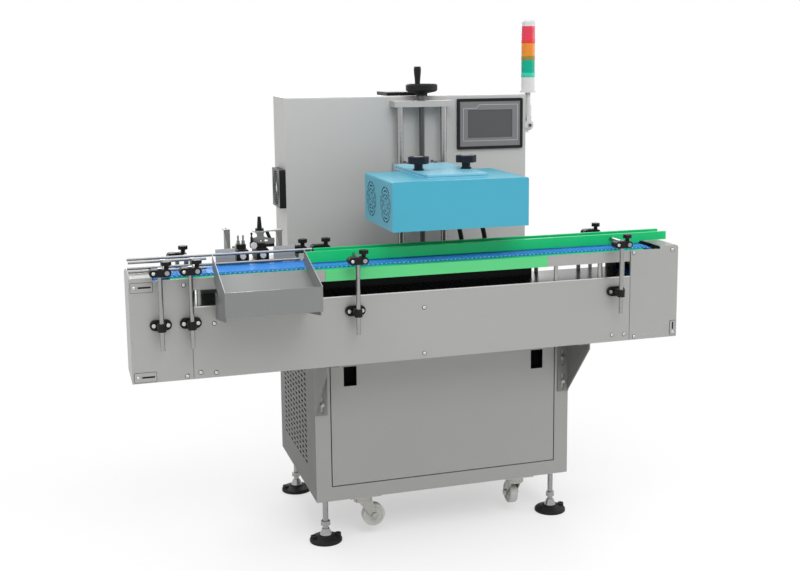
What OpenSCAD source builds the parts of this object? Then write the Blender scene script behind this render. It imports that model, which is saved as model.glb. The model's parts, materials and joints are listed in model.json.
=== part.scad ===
// Induction cap sealer on a bottle conveyor.
// Millimetres, +Z up, floor at z = 0, x = 0 at the middle of the conveyor beam.
// Depths are counted from the front face of the beam, positive towards the back,
// and on_line() then moves every piece so that y = 0 is the middle of the whole machine.

/* [Conveyor beam] */
// Length of the beam over both end covers
beam_len = 1600; // [1500:10:1700]
// Depth of the beam, front to back
beam_depth = 164; // [156:1:180]
// Height of the beam underside above the floor
beam_bottom_z = 590; // [560:1:620]
// Height of the long side skirts
skirt_h = 196; // [186:1:206]
// Open window between a skirt and the deck rail above it
window_h = 43; // [38:1:48]
// Height of the deck rails
deck_rail_h = 32; // [28:1:36]
// Thickness of the deck rails
deck_rail_t = 4; // [3:0.5:5]
// Thickness of the folded sheet
sheet = 2; // [1.5:0.1:2.5]
// Width of the folded edges of the sheet parts
fold_w = 14; // [12:1:16]
// Length of each end cover
end_cover_len = 158.5; // [150:0.5:170]
// Length of the hood over each end of the belt
hood_len = 61; // [56:1:64]
// End of the belt behind the end of the beam
belt_end_gap = 55; // [52:1:60]
// Rise of the hoods above the deck rails
hood_rise = 9; // [8.5:0.5:12]
// Distance of the coil zone, where the deck rails are plastic, from the infeed end
coil_zone_start = 519; // [500:1:540]
// Distance of the coil zone from the outfeed end
coil_zone_stop = 425; // [410:1:450]
// Diameter of the stand-offs in the window
standoff_d = 12; // [8:1:12]
// Gap between flat parts that are bolted together
seat_gap = 0.2; // [0.1:0.05:0.3]

/* [Belt and drive] */
// Width of the modular belt
belt_w = 108; // [96:1:112]
// Thickness of the belt links
belt_t = 8; // [7:0.5:9]
// Nominal pitch of the belt links
belt_pitch = 12.7; // [12:0.1:15]
// Height of the belt surface above the deck rails
belt_rise = 7; // [6:0.5:8]
// Diameter over the belt where it turns
belt_loop_d = 94; // [90:1:96]
// Slit between neighbouring links
belt_slit = 1.6; // [1:0.1:2.5]
// Depth of the slit between the links
belt_slit_depth = 2.4; // [1.5:0.1:3]
// Diameter of the belt shafts
shaft_d = 20; // [16:1:24]
// Teeth on each belt sprocket
sprocket_teeth = 16; // [12:1:20]
// Clearance between a turning shaft and its bore
shaft_clear = 0.05; // [0.02:0.01:0.09]
// Diameter of the chain wheels
chain_wheel_d = 50; // [44:1:56]
// Diameter of the drive motor
motor_d = 92; // [80:1:100]

/* [Bottle guides] */
// Diameter of the guide posts and cross rods
post_d = 12; // [10:0.5:13]
// Distance of the post axes from the face of the beam
post_off = 39; // [36:1:44]
// Height of the lower end of the posts
post_bottom_z = 684; // [670:1:690]
// Height of the lower clamps
lower_clamp_z = 744; // [735:1:752]
// Width of the lower clamps
clamp_w = 56; // [50:1:62]
// Height of the lower clamps and depth of all clamps
clamp_h = 28; // [24:1:30]
// Height of the head clamps
head_clamp_h = 20; // [18:1:22]
// Height of the cross rods above the belt surface
cross_rod_rise = 21; // [19:1:24]
// Distance from a post to its cross rod
cross_rod_dx = 17; // [16:1:20]
// Height of the guide rails
rail_h = 30; // [28:1:36]
// Thickness of the guide rails
rail_t = 10; // [8:1:14]
// Gap between the guide rails and the belt
rail_clear = 4; // [3:0.5:6]
// Free width between the guide rails
bottle_gap = 42; // [38:1:46]
// Distance of the bottle path from the front face of the beam
path_y = 97; // [92:1:100]
// Distance of the front guide rail from the infeed end
front_rail_start = 480; // [474:1:500]
// Distance of the rear guide rail from the infeed end
rear_rail_start = 514; // [512:1:530]
// Distance of both guide rails from the outfeed end
rail_end_gap = 6; // [4:1:30]
// Infeed post of the front rail, from the infeed end
front_post_in = 600; // [590:1:610]
// Outfeed post of the front rail, from the outfeed end
front_post_out = 208; // [200:1:216]
// Infeed post of the rear rail, from the infeed end
rear_post_in = 551; // [541:1:561]
// Outfeed post of the rear rail, from the outfeed end
rear_post_out = 192; // [184:1:200]
// First post of the front rods, from the infeed end
front_rod_post_1 = 78; // [74:1:82]
// Second post of the front rods, from the infeed end
front_rod_post_2 = 155; // [150:1:160]
// First post of the rear rods, from the infeed end
rear_rod_post_1 = 146; // [140:1:152]
// Second post of the rear rods, from the infeed end
rear_rod_post_2 = 483; // [478:1:488]
// Diameter of the infeed guide rods
guide_rod_d = 8; // [7:0.5:9]
// Distance between the upper and lower infeed rods
guide_rod_pitch = 25; // [25:0.5:27]
// Diameter of the star knobs on the head clamps
clamp_knob_d = 26; // [22:1:28]

/* [Base cabinet] */
// Left side of both cabinets
cab_x0 = -284; // [-300:1:-270]
// Width of both cabinets
cab_w = 800; // [780:1:820]
// Distance of the cabinet front from the front of the beam
base_y0 = 157; // [150:1:160]
// Depth of the base cabinet
base_depth = 535; // [520:1:560]
// Height of the base cabinet floor
base_bottom_z = 139; // [135:1:145]
// Width of the front frame at the sides of the access panel
stile_w = 45; // [40:1:50]
// Width of the front frame below the access panel
sill_h = 43; // [38:1:48]
// Width of the front frame above the access panel
head_rail_h = 26; // [20:1:32]
// Gap around the access panel
panel_gap = 3; // [2:0.5:4]
// Depth of the folded rim of the access panel
panel_depth = 18; // [15:1:22]
// Width of the recessed pulls
pull_w = 38; // [34:1:44]
// Height of the recessed pulls
pull_h = 58; // [50:1:64]
// Length of a side vent slot
vent_len = 30; // [26:1:36]
// Height of a side vent slot
vent_h = 7; // [5:0.5:8]
// Width of the gusset flanges
gusset_w = 36; // [32:1:40]
// Thickness of the gussets
gusset_t = 4; // [3:0.5:5]
// Height of the gussets
gusset_h = 186; // [170:1:200]
// Width of the power unit in the base
power_w = 380; // [340:5:420]
// Height of the power unit in the base
power_h = 240; // [200:5:280]

/* [Feet and casters] */
// Diameter of the levelling pads
pad_d = 97; // [90:1:104]
// Height of the levelling pads
pad_h = 20; // [18:1:24]
// Pitch of the two anchor holes in a pad
anchor_pitch = 74; // [70:1:76]
// Diameter of the anchor holes
anchor_d = 9; // [8:0.5:10]
// Diameter of the levelling stems
stem_d = 16; // [14:1:18]
// Distance of the feet from the cabinet sides
foot_inset = 35; // [34:1:40]
// Distance of the feet from the cabinet front and back
foot_inset_y = 49; // [46:1:56]
// Diameter of the caster wheels
wheel_d = 68; // [62:1:70]
// Width of the caster wheels
wheel_w = 24; // [20:1:26]
// Height of the caster axles
axle_z = 65; // [62:1:68]
// Diameter of the caster axles
axle_d = 10; // [8:1:12]
// Trail of the casters
caster_trail = 32; // [26:1:34]
// Distance of the left casters from the left side of the cabinet
caster_x_left = 150; // [144:1:170]
// Distance of the right casters from the right side of the cabinet
caster_x_right = 158; // [150:1:170]
// Distance of the casters from the cabinet front and back
caster_y = 48; // [44:1:60]

/* [Control cabinet] */
// Depth of the control cabinet
control_depth = 180; // [170:1:190]
// Height of the control cabinet above the base cabinet
control_h = 718; // [700:1:730]
// Width of the touch panel
touch_w = 226.5; // [210:0.5:240]
// Height of the touch panel
touch_h = 163; // [155:1:170]
// Depth of the touch panel in front of the cabinet
touch_t = 8; // [6:0.5:10]
// Width of the screen
screen_w = 154; // [146:1:160]
// Height of the screen
screen_h = 90; // [84:1:96]
// Width of the dark rim of the touch panel
touch_rim = 9; // [7:0.5:11]
// Side of the square fan
fan_w = 120; // [112:1:126]
// Depth of the fan outside the cabinet
fan_t = 20; // [18:1:25]
// Blades of the fan
fan_blades = 7; // [5:1:9]
// Height of the fan axis above the floor
fan_z = 1026; // [1000:1:1060]

/* [Lift column] */
// Gap between the lift column and the touch panel
column_gap = 30.5; // [22:0.5:40]
// Width of the column plates
column_w = 194; // [186:1:202]
// Depth of the column plates
column_depth = 60; // [54:1:64]
// Thickness of the column plates
column_t = 19; // [17:1:22]
// Distance of the column top below the top of the control cabinet
column_drop = 14; // [10:1:18]
// Distance between the two guide rods
lift_rod_pitch = 144; // [136:1:150]
// Diameter of the guide rods
lift_rod_d = 20; // [18:1:24]
// Diameter of the lead screw
screw_d = 18; // [16:1:20]
// Diameter of the handwheel
handwheel_d = 100; // [90:1:110]
// Height of the rim of the handwheel
handwheel_h = 25; // [22:1:28]
// Length of the crank grip
grip_len = 54; // [48:1:60]
// Height of the lift carriage
carriage_h = 82; // [74:1:90]

/* [Sealing head] */
// Distance of the middle of the head from the middle of the lift column
head_shift = 53; // [45:1:60]
// Width of the head
head_w = 398; // [380:1:410]
// Depth of the head
head_depth = 288; // [276:1:296]
// Height of the head
head_h = 136; // [126:1:146]
// Height of the head underside above the belt surface
head_clear = 93; // [80:1:105]
// Radius of the rounded edges of the head cover
head_r = 5; // [3:0.5:7]
// Diameter of the round vents
head_vent_d = 100; // [90:1:108]
// Distance between the two round vents
head_vent_pitch = 149; // [135:1:155]
// Width of the arm plate
arm_w = 178; // [168:1:188]
// Thickness of the arm plate
arm_t = 12; // [10:0.5:14]
// Middle of the arm plate beside the middle of the head
arm_shift = 5; // [0:1:10]
// Front edge of the arm plate behind the front of the head
arm_setback = 43; // [36:1:50]
// Rear edge of the arm plate behind the back of the head
arm_overhang = 98; // [90:1:110]
// Distance between the star knobs
knob_pitch = 145; // [136:1:152]
// Diameter of the star knobs
knob_d = 60; // [54:1:64]
// Diameter of the coil cables
cable_d = 14; // [12:1:16]

/* [Signal tower] */
// Diameter of the lenses
lens_d = 44; // [40:1:46]
// Height of one lens
lens_h = 55; // [50:1:60]
// Diameter of the tower pole
pole_d = 18; // [16:1:20]
// Height of the folding joint of the tower
tower_joint_z = 1205; // [1195:1:1212]
// Distance of the folding joint from the side of the cabinet
tower_joint_dx = 20; // [20:0.5:24]

/* [Reject station] */
// Distance of the tray from the infeed end
tray_start = 220; // [216:1:224]
// Width of the tray
tray_w = 248; // [240:1:252]
// Reach of the tray in front of the beam
tray_reach = 196; // [180:1:210]
// Height of the tray walls
tray_wall = 65; // [55:1:70]
// Drop of the tray floor from back to front
tray_drop = 58; // [50:1:64]
// Thickness of the tray sheet
tray_t = 1.5; // [1.2:0.1:2]
// Distance of the middle of the two pushers from the infeed end
pusher_start = 348; // [340:1:354]
// Distance between the two pushers
pusher_pitch = 56; // [52:1:60]
// Diameter of the pusher discs
pusher_d = 16; // [12:0.5:16]
// Diameter of the piston rods
piston_d = 8; // [6:0.5:9]
// Stroke of the pushers
pusher_stroke = 60; // [50:1:62]
// Side of the pneumatic cylinders
cylinder_w = 34; // [30:1:36]

/* [Hidden] */
$fn = 48;

// Colours
steel = "#a5a5a3";
pale_steel = "#b4b4b2";
bright_steel = "#c8c8c8";
black_plastic = "#1c1c1e";
rail_green = "#28b46e";
deck_green = "#4bb973";
belt_blue = "#2f74d0";
head_blue = "#58b4dc";
white_plastic = "#d2d2d2";

// Heights along the beam
skirt_top = beam_bottom_z + skirt_h;
deck_bottom = skirt_top + window_h;
deck_top = deck_bottom + deck_rail_h;
hood_top = deck_top + hood_rise;
belt_top = deck_top + belt_rise;
run_clear = 0.3;

// Lengths along the beam
beam_end = beam_len / 2;
seam_x = beam_end - end_cover_len;
infeed_x = -beam_end;
coil_zone_x0 = infeed_x + coil_zone_start;
coil_zone_x1 = beam_end - coil_zone_stop;
tray_x0 = infeed_x + tray_start;
tray_x1 = tray_x0 + tray_w;
pusher_x = infeed_x + pusher_start;
front_rail_x0 = infeed_x + front_rail_start;
rear_rail_x0 = infeed_x + rear_rail_start;
standoff_starts = [180, 330, 480];
standoff_stops = [395, 255, 180];
standoff_xs = concat([for (d = standoff_starts) infeed_x + d], [for (d = standoff_stops) beam_end - d]);

// Belt loop
belt_y0 = (beam_depth - belt_w) / 2;
belt_y1 = belt_y0 + belt_w;
belt_mid_r = (belt_loop_d - belt_t) / 2;
shaft_x = beam_end - belt_end_gap - belt_loop_d / 2;
shaft_z = belt_top - belt_loop_d / 2;
belt_straight = 2 * shaft_x;
belt_turn = PI * belt_mid_r;
belt_length = 2 * belt_straight + 2 * belt_turn;
belt_links = round(belt_length / belt_pitch);
link_pitch = belt_length / belt_links;
sprocket_r = belt_mid_r - belt_t / 2 - 1.5;
sprocket_w = 20;
sprocket_inset = 18;
ledge_w = 24;
ledge_x = shaft_x - sprocket_r - 4;
strip_z = deck_top - 9;
chain_y0 = belt_y1 + 8;
chain_w = 6;
motor_z = beam_bottom_z + sheet + 74;
gearbox_w = 90;
gearbox_depth = 100;
gearbox_rise = 50;
motor_len = 195;
chain_t = 4;

// Guides
post_r = post_d / 2;
jaw_r = post_r + 5;
jaw_h = 21;
cross_rod_end = 3;
head_clamp_z = belt_top + cross_rod_rise;
rail_z = belt_top + rail_clear;
rail_x1 = beam_end - rail_end_gap;
front_rail_posts_x = [infeed_x + front_post_in, beam_end - front_post_out];
rear_rail_posts_x = [infeed_x + rear_post_in, beam_end - rear_post_out];
front_rod_posts_x = [infeed_x + front_rod_post_1, infeed_x + front_rod_post_2];
rear_rod_posts_x = [infeed_x + rear_rod_post_1, infeed_x + rear_rod_post_2];
path_front_y = path_y - bottle_gap / 2;
path_rear_y = path_y + bottle_gap / 2;
rod_low_z = belt_top + 3 + guide_rod_d / 2;
rod_x0 = -beam_end + 6;
rod_front_x1 = tray_x0 - 10;

// Cabinets
cab_x1 = cab_x0 + cab_w;
base_y1 = base_y0 + base_depth;
base_top = beam_bottom_z;
panel_x0 = cab_x0 + stile_w;
panel_x1 = cab_x1 - stile_w;
panel_z0 = base_bottom_z + sill_h;
panel_z1 = base_top - head_rail_h;
vent_pitch = 44;
vent_row = 16;
vent_start = 141;
vent_rise = 82;
vent_back_margin = 80;
vent_top_margin = 60;
pull_inset = 42;
pull_z = panel_z1 - 22 - pull_h / 2;
control_y0 = base_y1 - control_depth;
control_top = base_top + control_h;
foot_xs = [cab_x0 + foot_inset, cab_x1 - foot_inset];
foot_ys = [base_y0 + foot_inset_y, base_y1 - foot_inset_y];
caster_xl = cab_x0 + caster_x_left;
caster_xr = cab_x1 - caster_x_right;
caster_yf = base_y0 + caster_y;
caster_yr = base_y1 - caster_y;
caster_plate_t = 5;
caster_plate_w = 95;
caster_plate_depth = 84;
raceway_d = 56;
caster_boss_h = 14;
boss_z = base_bottom_z - caster_plate_t - caster_boss_h;
kingpin_d = 12;
touch_x1 = cab_x1 - 13;
touch_x0 = touch_x1 - touch_w;
touch_z1 = control_top - 12;
touch_z0 = touch_z1 - touch_h;
fan_y = control_y0 + 4 + fan_w / 2;

// Lift column and head
column_x = touch_x0 - column_gap - column_w / 2;
column_y = control_y0 - column_depth / 2;
column_top = control_top - column_drop;
lift_rod_xs = [column_x - lift_rod_pitch / 2, column_x + lift_rod_pitch / 2];
collar_top = column_top + run_clear + 15;
wheel_z0 = collar_top;
wheel_top = wheel_z0 + 12 + handwheel_h;
grip_r = 0.38 * handwheel_d;
grip_pin_d = 8;
screw_stub = 22;
grip_x = column_x - 0.6 * grip_r;
grip_y = column_y - 0.8 * grip_r;
head_z = belt_top + head_clear;
head_top = head_z + head_h;
head_mid_x = column_x - head_shift;
head_x0 = head_mid_x - head_w / 2;
head_x1 = head_x0 + head_w;
head_y0 = path_y - head_depth / 2;
head_y1 = head_y0 + head_depth;
arm_y0 = head_y0 + arm_setback;
arm_y1 = head_y1 + arm_overhang;
arm_top = head_top + arm_t;
arm_x = head_mid_x + arm_shift;
knob_y = head_y0 + 0.635 * head_depth;
stud_d = 12;
coil_plate_t = 6;
coil_inset = 50;
coil_depth = 120;
coil_h = 60;
carriage_edge = 18;
carriage_x0 = lift_rod_xs[0] - carriage_edge;
carriage_x1 = lift_rod_xs[1] + carriage_edge;

// Coil cables: from the underside of the head down in a slack curve to the top of the base cabinet.
// Each point has the offset along x and y and the share of the drop.
cable_gland_h = 14;
cable_route = [
    [0, 0, 0], [0, 0, 0.02], [0, 0, 0.04], [8, 1, 0.14], [18, 8, 0.3], [26, 40, 0.48], [31, 92, 0.66],
    [32, 122, 0.82], [32, 130, 0.92], [32, 130, 0.96], [32, 130, 1]
];
cable_end = cable_route[len(cable_route) - 1];
cable_xs = [head_mid_x + 77, head_mid_x + 151];
cable_y = head_y1 - 40;
gland_d = cable_d + 12;

// Signal tower
tower_x = cab_x1 + tower_joint_dx;
tower_y = control_y0 + 30;
tower_base_z = control_top + 4;
lens_z = tower_base_z + 50;
tower_top = lens_z + 3 * lens_h + 20;
knuckle_r = 18;

// Reject station
tray_back_z = deck_top + 4;
tray_floor_front = tray_back_z - tray_drop;
tray_hem = 16;
tray_hem_z = tray_floor_front - tray_hem;
tray_back_h = 52;
tray_lip_y = belt_y0 - 2;
tray_lip_z = hood_top + 3;
bracket_t = 3;
bracket_foot = 26;
bracket_drop = 38;
bracket_h = 74;
bracket_knee = 110;
bracket_nose = 16;
bracket_tip = 13;
shelf_left = 104;
shelf_right = 117;
shelf_depth = 92;
shelf_wall = 44;
backplate_left = 46;
angle_w = 17;
angle_depth = 34;
angle_hs = [92, 80];
pusher_z = rod_low_z + guide_rod_pitch / 2;
pusher_y = path_rear_y + guide_rod_d + 14;
reject_shelf_t = 3;
reject_shelf_z = pusher_z - cylinder_w / 2 - reject_shelf_t - seat_gap;
piston_len = pusher_stroke + 16;

// The whole machine is centred in depth between the front of the tray and the back of the cabinets
beam_front_y = (tray_reach - base_y1) / 2;

// Moves a piece from depths counted at the beam front to the frame of the machine
module on_line() translate([0, beam_front_y, 0]) children();

// Mirrors a piece of the front of the beam to its rear
module rear_side() translate([0, beam_depth, 0]) mirror([0, 1, 0]) children();

module both_sides() {
    children();
    rear_side() children();
}

// A block between two corners
module box(x0, x1, y0, y1, z0, z1) translate([x0, y0, z0]) cube([x1 - x0, y1 - y0, z1 - z0]);

module rod_x(d, x0, x1, y, z) translate([x0, y, z]) rotate([0, 90, 0]) cylinder(d = d, h = x1 - x0);

module rod_y(d, x, y0, y1, z) translate([x, y1, z]) rotate([90, 0, 0]) cylinder(d = d, h = y1 - y0);

module rod_z(d, x, y, z0, z1) translate([x, y, z0]) cylinder(d = d, h = z1 - z0);

// Extrudes a profile drawn in depth and height along X
module extrude_x(x0, x1) translate([x0, 0, 0]) rotate([90, 0, 90]) linear_extrude(x1 - x0) children();

// Extrudes a profile drawn in width and height along Y
module extrude_y(y0, y1) translate([0, y1, 0]) rotate([90, 0, 0]) linear_extrude(y1 - y0) children();

module rect(x0, x1, y0, y1) translate([x0, y0]) square([x1 - x0, y1 - y0]);

// A rectangle with round ends, long along X
module oblong(w, h) {
    square([w - h, h], center = true);
    for (s = [-1, 1]) translate([s * (w - h) / 2, 0]) circle(d = h);
}

// A rectangle with round corners
module round_rect(x0, x1, y0, y1, r) {
    rect(x0 + r, x1 - r, y0, y1);
    rect(x0, x1, y0 + r, y1 - r);
    for (x = [x0 + r, x1 - r], y = [y0 + r, y1 - r]) translate([x, y]) circle(r = r);
}

// A hand knob with round lobes, standing on z = 0 on its own stem
module lobed_knob(d, head_t, stem, stem_h, lobes) {
    cylinder(d = stem, h = stem_h);
    translate([0, 0, stem_h]) linear_extrude(head_t) difference() {
        circle(d = d);
        for (i = [0 : lobes - 1]) rotate((i + 0.5) * 360 / lobes) translate([0.6 * d, 0]) circle(d = 0.36 * d);
    }
}

// Base cabinet

module base_shell() color(steel) on_line() difference() {
    union() {
        box(cab_x0 + sheet, cab_x1 - sheet, base_y0 + sheet, base_y1, base_bottom_z, base_bottom_z + sheet);
        box(cab_x0 + sheet, cab_x1 - sheet, base_y1 - sheet, base_y1, base_bottom_z, base_top);
        box(cab_x0 + sheet, cab_x1 - sheet, base_y0 + sheet, base_y1, base_top - sheet, base_top);
        for (x = cable_xs) translate([x + cable_end[0], cable_y + cable_end[1], base_top - 1])
            cylinder(d = gland_d, h = cable_gland_h + 1, $fn = 6);
    }
    for (x = foot_xs, y = foot_ys)
        rod_z(stem_d + 2 * shaft_clear, x, y, base_bottom_z - 1, base_bottom_z + sheet + 1);
}

module vent_pattern() {
    rows = floor((base_top - base_bottom_z - vent_rise - vent_top_margin) / vent_row);
    columns = floor((base_depth - vent_start - vent_back_margin) / vent_pitch);
    for (r = [0 : rows], c = [0 : columns])
        translate([base_y0 + vent_start + c * vent_pitch, base_bottom_z + vent_rise + r * vent_row])
            oblong(vent_len, vent_h);
}

module base_side_panels() color(steel) on_line() {
    extrude_x(cab_x0, cab_x0 + sheet) difference() {
        rect(base_y0 + sheet, base_y1, base_bottom_z, base_top);
        vent_pattern();
    }
    extrude_x(cab_x1 - sheet, cab_x1) rect(base_y0 + sheet, base_y1, base_bottom_z, base_top);
}

module base_front_frame() color(steel) on_line() {
    lip_y = base_y0 + panel_depth + seat_gap;
    difference() {
        box(cab_x0, cab_x1, base_y0, base_y0 + sheet, base_bottom_z, base_top);
        box(panel_x0, panel_x1, base_y0 - 1, base_y0 + sheet + 1, panel_z0, panel_z1);
    }
    extrude_y(base_y0, lip_y + sheet) difference() {
        rect(panel_x0 - sheet, panel_x1 + sheet, panel_z0 - sheet, panel_z1 + sheet);
        rect(panel_x0, panel_x1, panel_z0, panel_z1);
    }
    extrude_y(lip_y, lip_y + sheet) difference() {
        rect(panel_x0 - sheet, panel_x1 + sheet, panel_z0 - sheet, panel_z1 + sheet);
        rect(panel_x0 + fold_w, panel_x1 - fold_w, panel_z0 + fold_w, panel_z1 - fold_w);
    }
}

module pull_outline(grow) for (x = [panel_x0 + pull_inset, panel_x1 - pull_inset - pull_w])
    rect(x - grow, x + pull_w + grow, pull_z - pull_h / 2 - grow, pull_z + pull_h / 2 + grow);

module front_panel() on_line() {
    x0 = panel_x0 + panel_gap;
    x1 = panel_x1 - panel_gap;
    z0 = panel_z0 + panel_gap;
    z1 = panel_z1 - panel_gap;
    color(steel) {
        extrude_y(base_y0, base_y0 + sheet) difference() {
            rect(x0, x1, z0, z1);
            pull_outline(seat_gap);
        }
        extrude_y(base_y0 + sheet, base_y0 + panel_depth) difference() {
            rect(x0, x1, z0, z1);
            rect(x0 + sheet, x1 - sheet, z0 + sheet, z1 - sheet);
        }
    }
    color(black_plastic) difference() {
        extrude_y(base_y0 - 1, base_y0 + 15) pull_outline(0);
        extrude_y(base_y0 - 2, base_y0 + 12) pull_outline(-3);
    }
}

module gusset() {
    tip_y = 4;
    tip_h = 18;
    box(cab_x0, cab_x0 + gusset_w, base_y0 - gusset_t, base_y0, base_top - gusset_h, base_top);
    box(cab_x0, cab_x0 + gusset_w, tip_y, base_y0, base_top - gusset_t, base_top);
    extrude_x(cab_x0, cab_x0 + gusset_t) polygon([
        [base_y0, base_top - gusset_h], [base_y0, base_top], [tip_y, base_top], [tip_y, base_top - tip_h]
    ]);
}

module base_gussets() color(steel) on_line() difference() {
    union() {
        gusset();
        translate([cab_x0 + cab_x1, 0, 0]) mirror([1, 0, 0]) gusset();
    }
    slot_inset = (gusset_w + gusset_t) / 2;
    for (x = [cab_x0 + slot_inset, cab_x1 - slot_inset], f = [0.425, 0.83])
        translate([x, 0, base_top - f * gusset_h])
            extrude_y(base_y0 - gusset_t - 1, base_y0 + 1) rotate(90) oblong(50, 9);
}

module power_unit() color(white_plastic) on_line() {
    x0 = cab_x0 + cab_w / 2 - power_w / 2;
    y0 = base_y0 + 0.3 * base_depth;
    z0 = base_bottom_z + sheet;
    difference() {
        box(x0, x0 + power_w, y0, y0 + 0.4 * base_depth, z0, z0 + power_h);
        for (i = [0 : 9]) box(x0 + 40 + i * 30, x0 + 52 + i * 30, y0 - 1, y0 + 6, z0 + 40, z0 + power_h - 60);
    }
}

// Feet and casters

module levelling_foot() {
    socket_z = 8;
    hub_r = stem_d / 2 + 12;
    lug_h = pad_h - 1;
    cone_h = 18;
    nut_h = 14;
    nut_z = pad_h + 28;
    color(black_plastic) difference() {
        union() {
            rotate_extrude() polygon([
                [0, 0], [pad_d / 2, 0], [pad_d / 2, 0.3 * pad_h], [pad_d / 2 - 4, 0.48 * pad_h],
                [0.36 * pad_d, 0.62 * pad_h], [hub_r + 4, 0.8 * pad_h], [hub_r, pad_h], [0, pad_h]
            ]);
            for (s = [-1, 1]) rod_z(anchor_d + 10, s * anchor_pitch / 2, 0, 0, lug_h);
        }
        rod_z(stem_d + 2 * shaft_clear, 0, 0, socket_z, pad_h + 1);
        for (s = [-1, 1]) rod_z(anchor_d, s * anchor_pitch / 2, 0, -1, lug_h + 1);
    }
    color(bright_steel) {
        rod_z(stem_d, 0, 0, socket_z + seat_gap, base_bottom_z + 40);
        for (z = [nut_z, base_bottom_z - nut_h - seat_gap])
            translate([0, 0, z]) cylinder(d = 1.8 * stem_d, h = nut_h, $fn = 6);
        translate([0, 0, pad_h + seat_gap]) cylinder(d1 = 2 * hub_r - 4, d2 = stem_d + 6, h = cone_h);
    }
}

module levelling_feet() on_line() for (x = foot_xs, y = foot_ys) translate([x, y, 0]) levelling_foot();

module caster_plates() color(bright_steel) on_line()
    for (x = [caster_xl, caster_xr], y = [caster_yf, caster_yr]) difference() {
        union() {
            translate([x, y, base_bottom_z - caster_plate_t])
                linear_extrude(caster_plate_t) square([caster_plate_w, caster_plate_depth], center = true);
            rod_z(raceway_d, x, y, boss_z, base_bottom_z - 1);
        }
        rod_z(kingpin_d + 2 * shaft_clear, x, y, boss_z - 1, base_bottom_z + 1);
    }

// Places a caster at its kingpin, with its trail turned to the given side
module caster_at(x, y, turn) on_line() translate([x, y, 0]) rotate(turn) children();

module caster_fork() color(bright_steel) {
    crown_z = boss_z - run_clear;
    leg_y = wheel_w / 2 + 1.5;
    fork_r = 11;
    rod_z(kingpin_d, 0, 0, crown_z - 2, base_bottom_z - 1);
    rod_z(raceway_d, 0, 0, crown_z - 8, crown_z);
    for (s = [0, 1]) mirror([0, s, 0]) extrude_y(leg_y, leg_y + 4) {
        polygon([
            [-22, crown_z], [24, crown_z], [caster_trail + fork_r, axle_z], [caster_trail - fork_r, axle_z]
        ]);
        translate([caster_trail, axle_z]) circle(r = fork_r);
    }
    rod_y(axle_d, caster_trail, -leg_y - 7, leg_y + 7, axle_z);
}

module caster_wheel() color(white_plastic) translate([caster_trail, 0, axle_z]) rotate([90, 0, 0]) {
    bore_r = axle_d / 2 + shaft_clear;
    hub_r = axle_d / 2 + 6;
    r = wheel_d / 2;
    w = wheel_w / 2;
    rotate_extrude() polygon([
        [bore_r, -w - 1], [hub_r, -w - 1], [hub_r, -w + 2], [r - 9, -w + 2], [r - 8, -w], [r - 2, -w], [r, -w + 2],
        [r, w - 2], [r - 2, w], [r - 8, w], [r - 9, w - 2], [hub_r, w - 2], [hub_r, w + 1], [bore_r, w + 1]
    ]);
}

module caster_fork_fl() caster_at(caster_xl, caster_yf, 0) caster_fork();
module caster_fork_fr() caster_at(caster_xr, caster_yf, 90) caster_fork();
module caster_fork_rl() caster_at(caster_xl, caster_yr, 90) caster_fork();
module caster_fork_rr() caster_at(caster_xr, caster_yr, 0) caster_fork();
module caster_wheel_fl() caster_at(caster_xl, caster_yf, 0) caster_wheel();
module caster_wheel_fr() caster_at(caster_xr, caster_yf, 90) caster_wheel();
module caster_wheel_rl() caster_at(caster_xl, caster_yr, 90) caster_wheel();
module caster_wheel_rr() caster_at(caster_xr, caster_yr, 0) caster_wheel();

// Conveyor beam

module conveyor_channel() color(steel) on_line() extrude_x(-seam_x, seam_x) {
    rect(0, beam_depth, beam_bottom_z, beam_bottom_z + sheet);
    for (y = [0, beam_depth - sheet]) rect(y, y + sheet, beam_bottom_z, skirt_top);
    rect(0, beam_depth, skirt_top - sheet, skirt_top);
}

// One end cover, drawn for the right end
module end_cover() {
    hood_x = beam_end - hood_len;
    both_sides() extrude_y(0, sheet) {
        rect(seam_x, beam_end - 8, beam_bottom_z, deck_top);
        rect(hood_x, beam_end - 8, deck_top, hood_top);
        rect(beam_end - 9, beam_end, beam_bottom_z, hood_top - 8);
        translate([beam_end - 8, hood_top - 8]) circle(r = 8);
    }
    box(beam_end - sheet, beam_end, 0, beam_depth, beam_bottom_z, hood_top - 8);
    extrude_y(0, beam_depth) intersection() {
        translate([beam_end - 8, hood_top - 8]) difference() {
            circle(r = 8);
            circle(r = 8 - sheet);
        }
        rect(beam_end - 8, beam_end, hood_top - 8, hood_top);
    }
    box(hood_x, beam_end - 8, 0, beam_depth, hood_top - sheet, hood_top);
    box(seam_x, beam_end, 0, beam_depth, beam_bottom_z, beam_bottom_z + sheet);
}

module end_cover_left() color(steel) on_line() mirror([1, 0, 0]) end_cover();
module end_cover_right() color(steel) on_line() end_cover();

// Steel deck rail of one end of the front side, from the coil zone to the bearing plate under the end cover
module deck_rail(x_in) {
    y0 = sheet + seat_gap;
    plate_x1 = shaft_x + 36;
    difference() {
        extrude_y(y0, y0 + deck_rail_t) {
            rect(x_in, plate_x1, deck_bottom, deck_top);
            rect(seam_x + 1, plate_x1, skirt_top - 30, deck_top);
        }
        rod_y(shaft_d + 2 * shaft_clear, shaft_x, y0 - 1, y0 + deck_rail_t + 1, shaft_z);
    }
    box(x_in, seam_x - 1, y0, y0 + fold_w, deck_bottom, deck_bottom + sheet);
}

module deck_rails() color(steel) on_line() both_sides() {
    deck_rail(coil_zone_x1);
    mirror([1, 0, 0]) deck_rail(-coil_zone_x0);
    for (x = standoff_xs) rod_z(standoff_d, x, sheet + fold_w / 2, skirt_top, deck_bottom);
}

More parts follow.
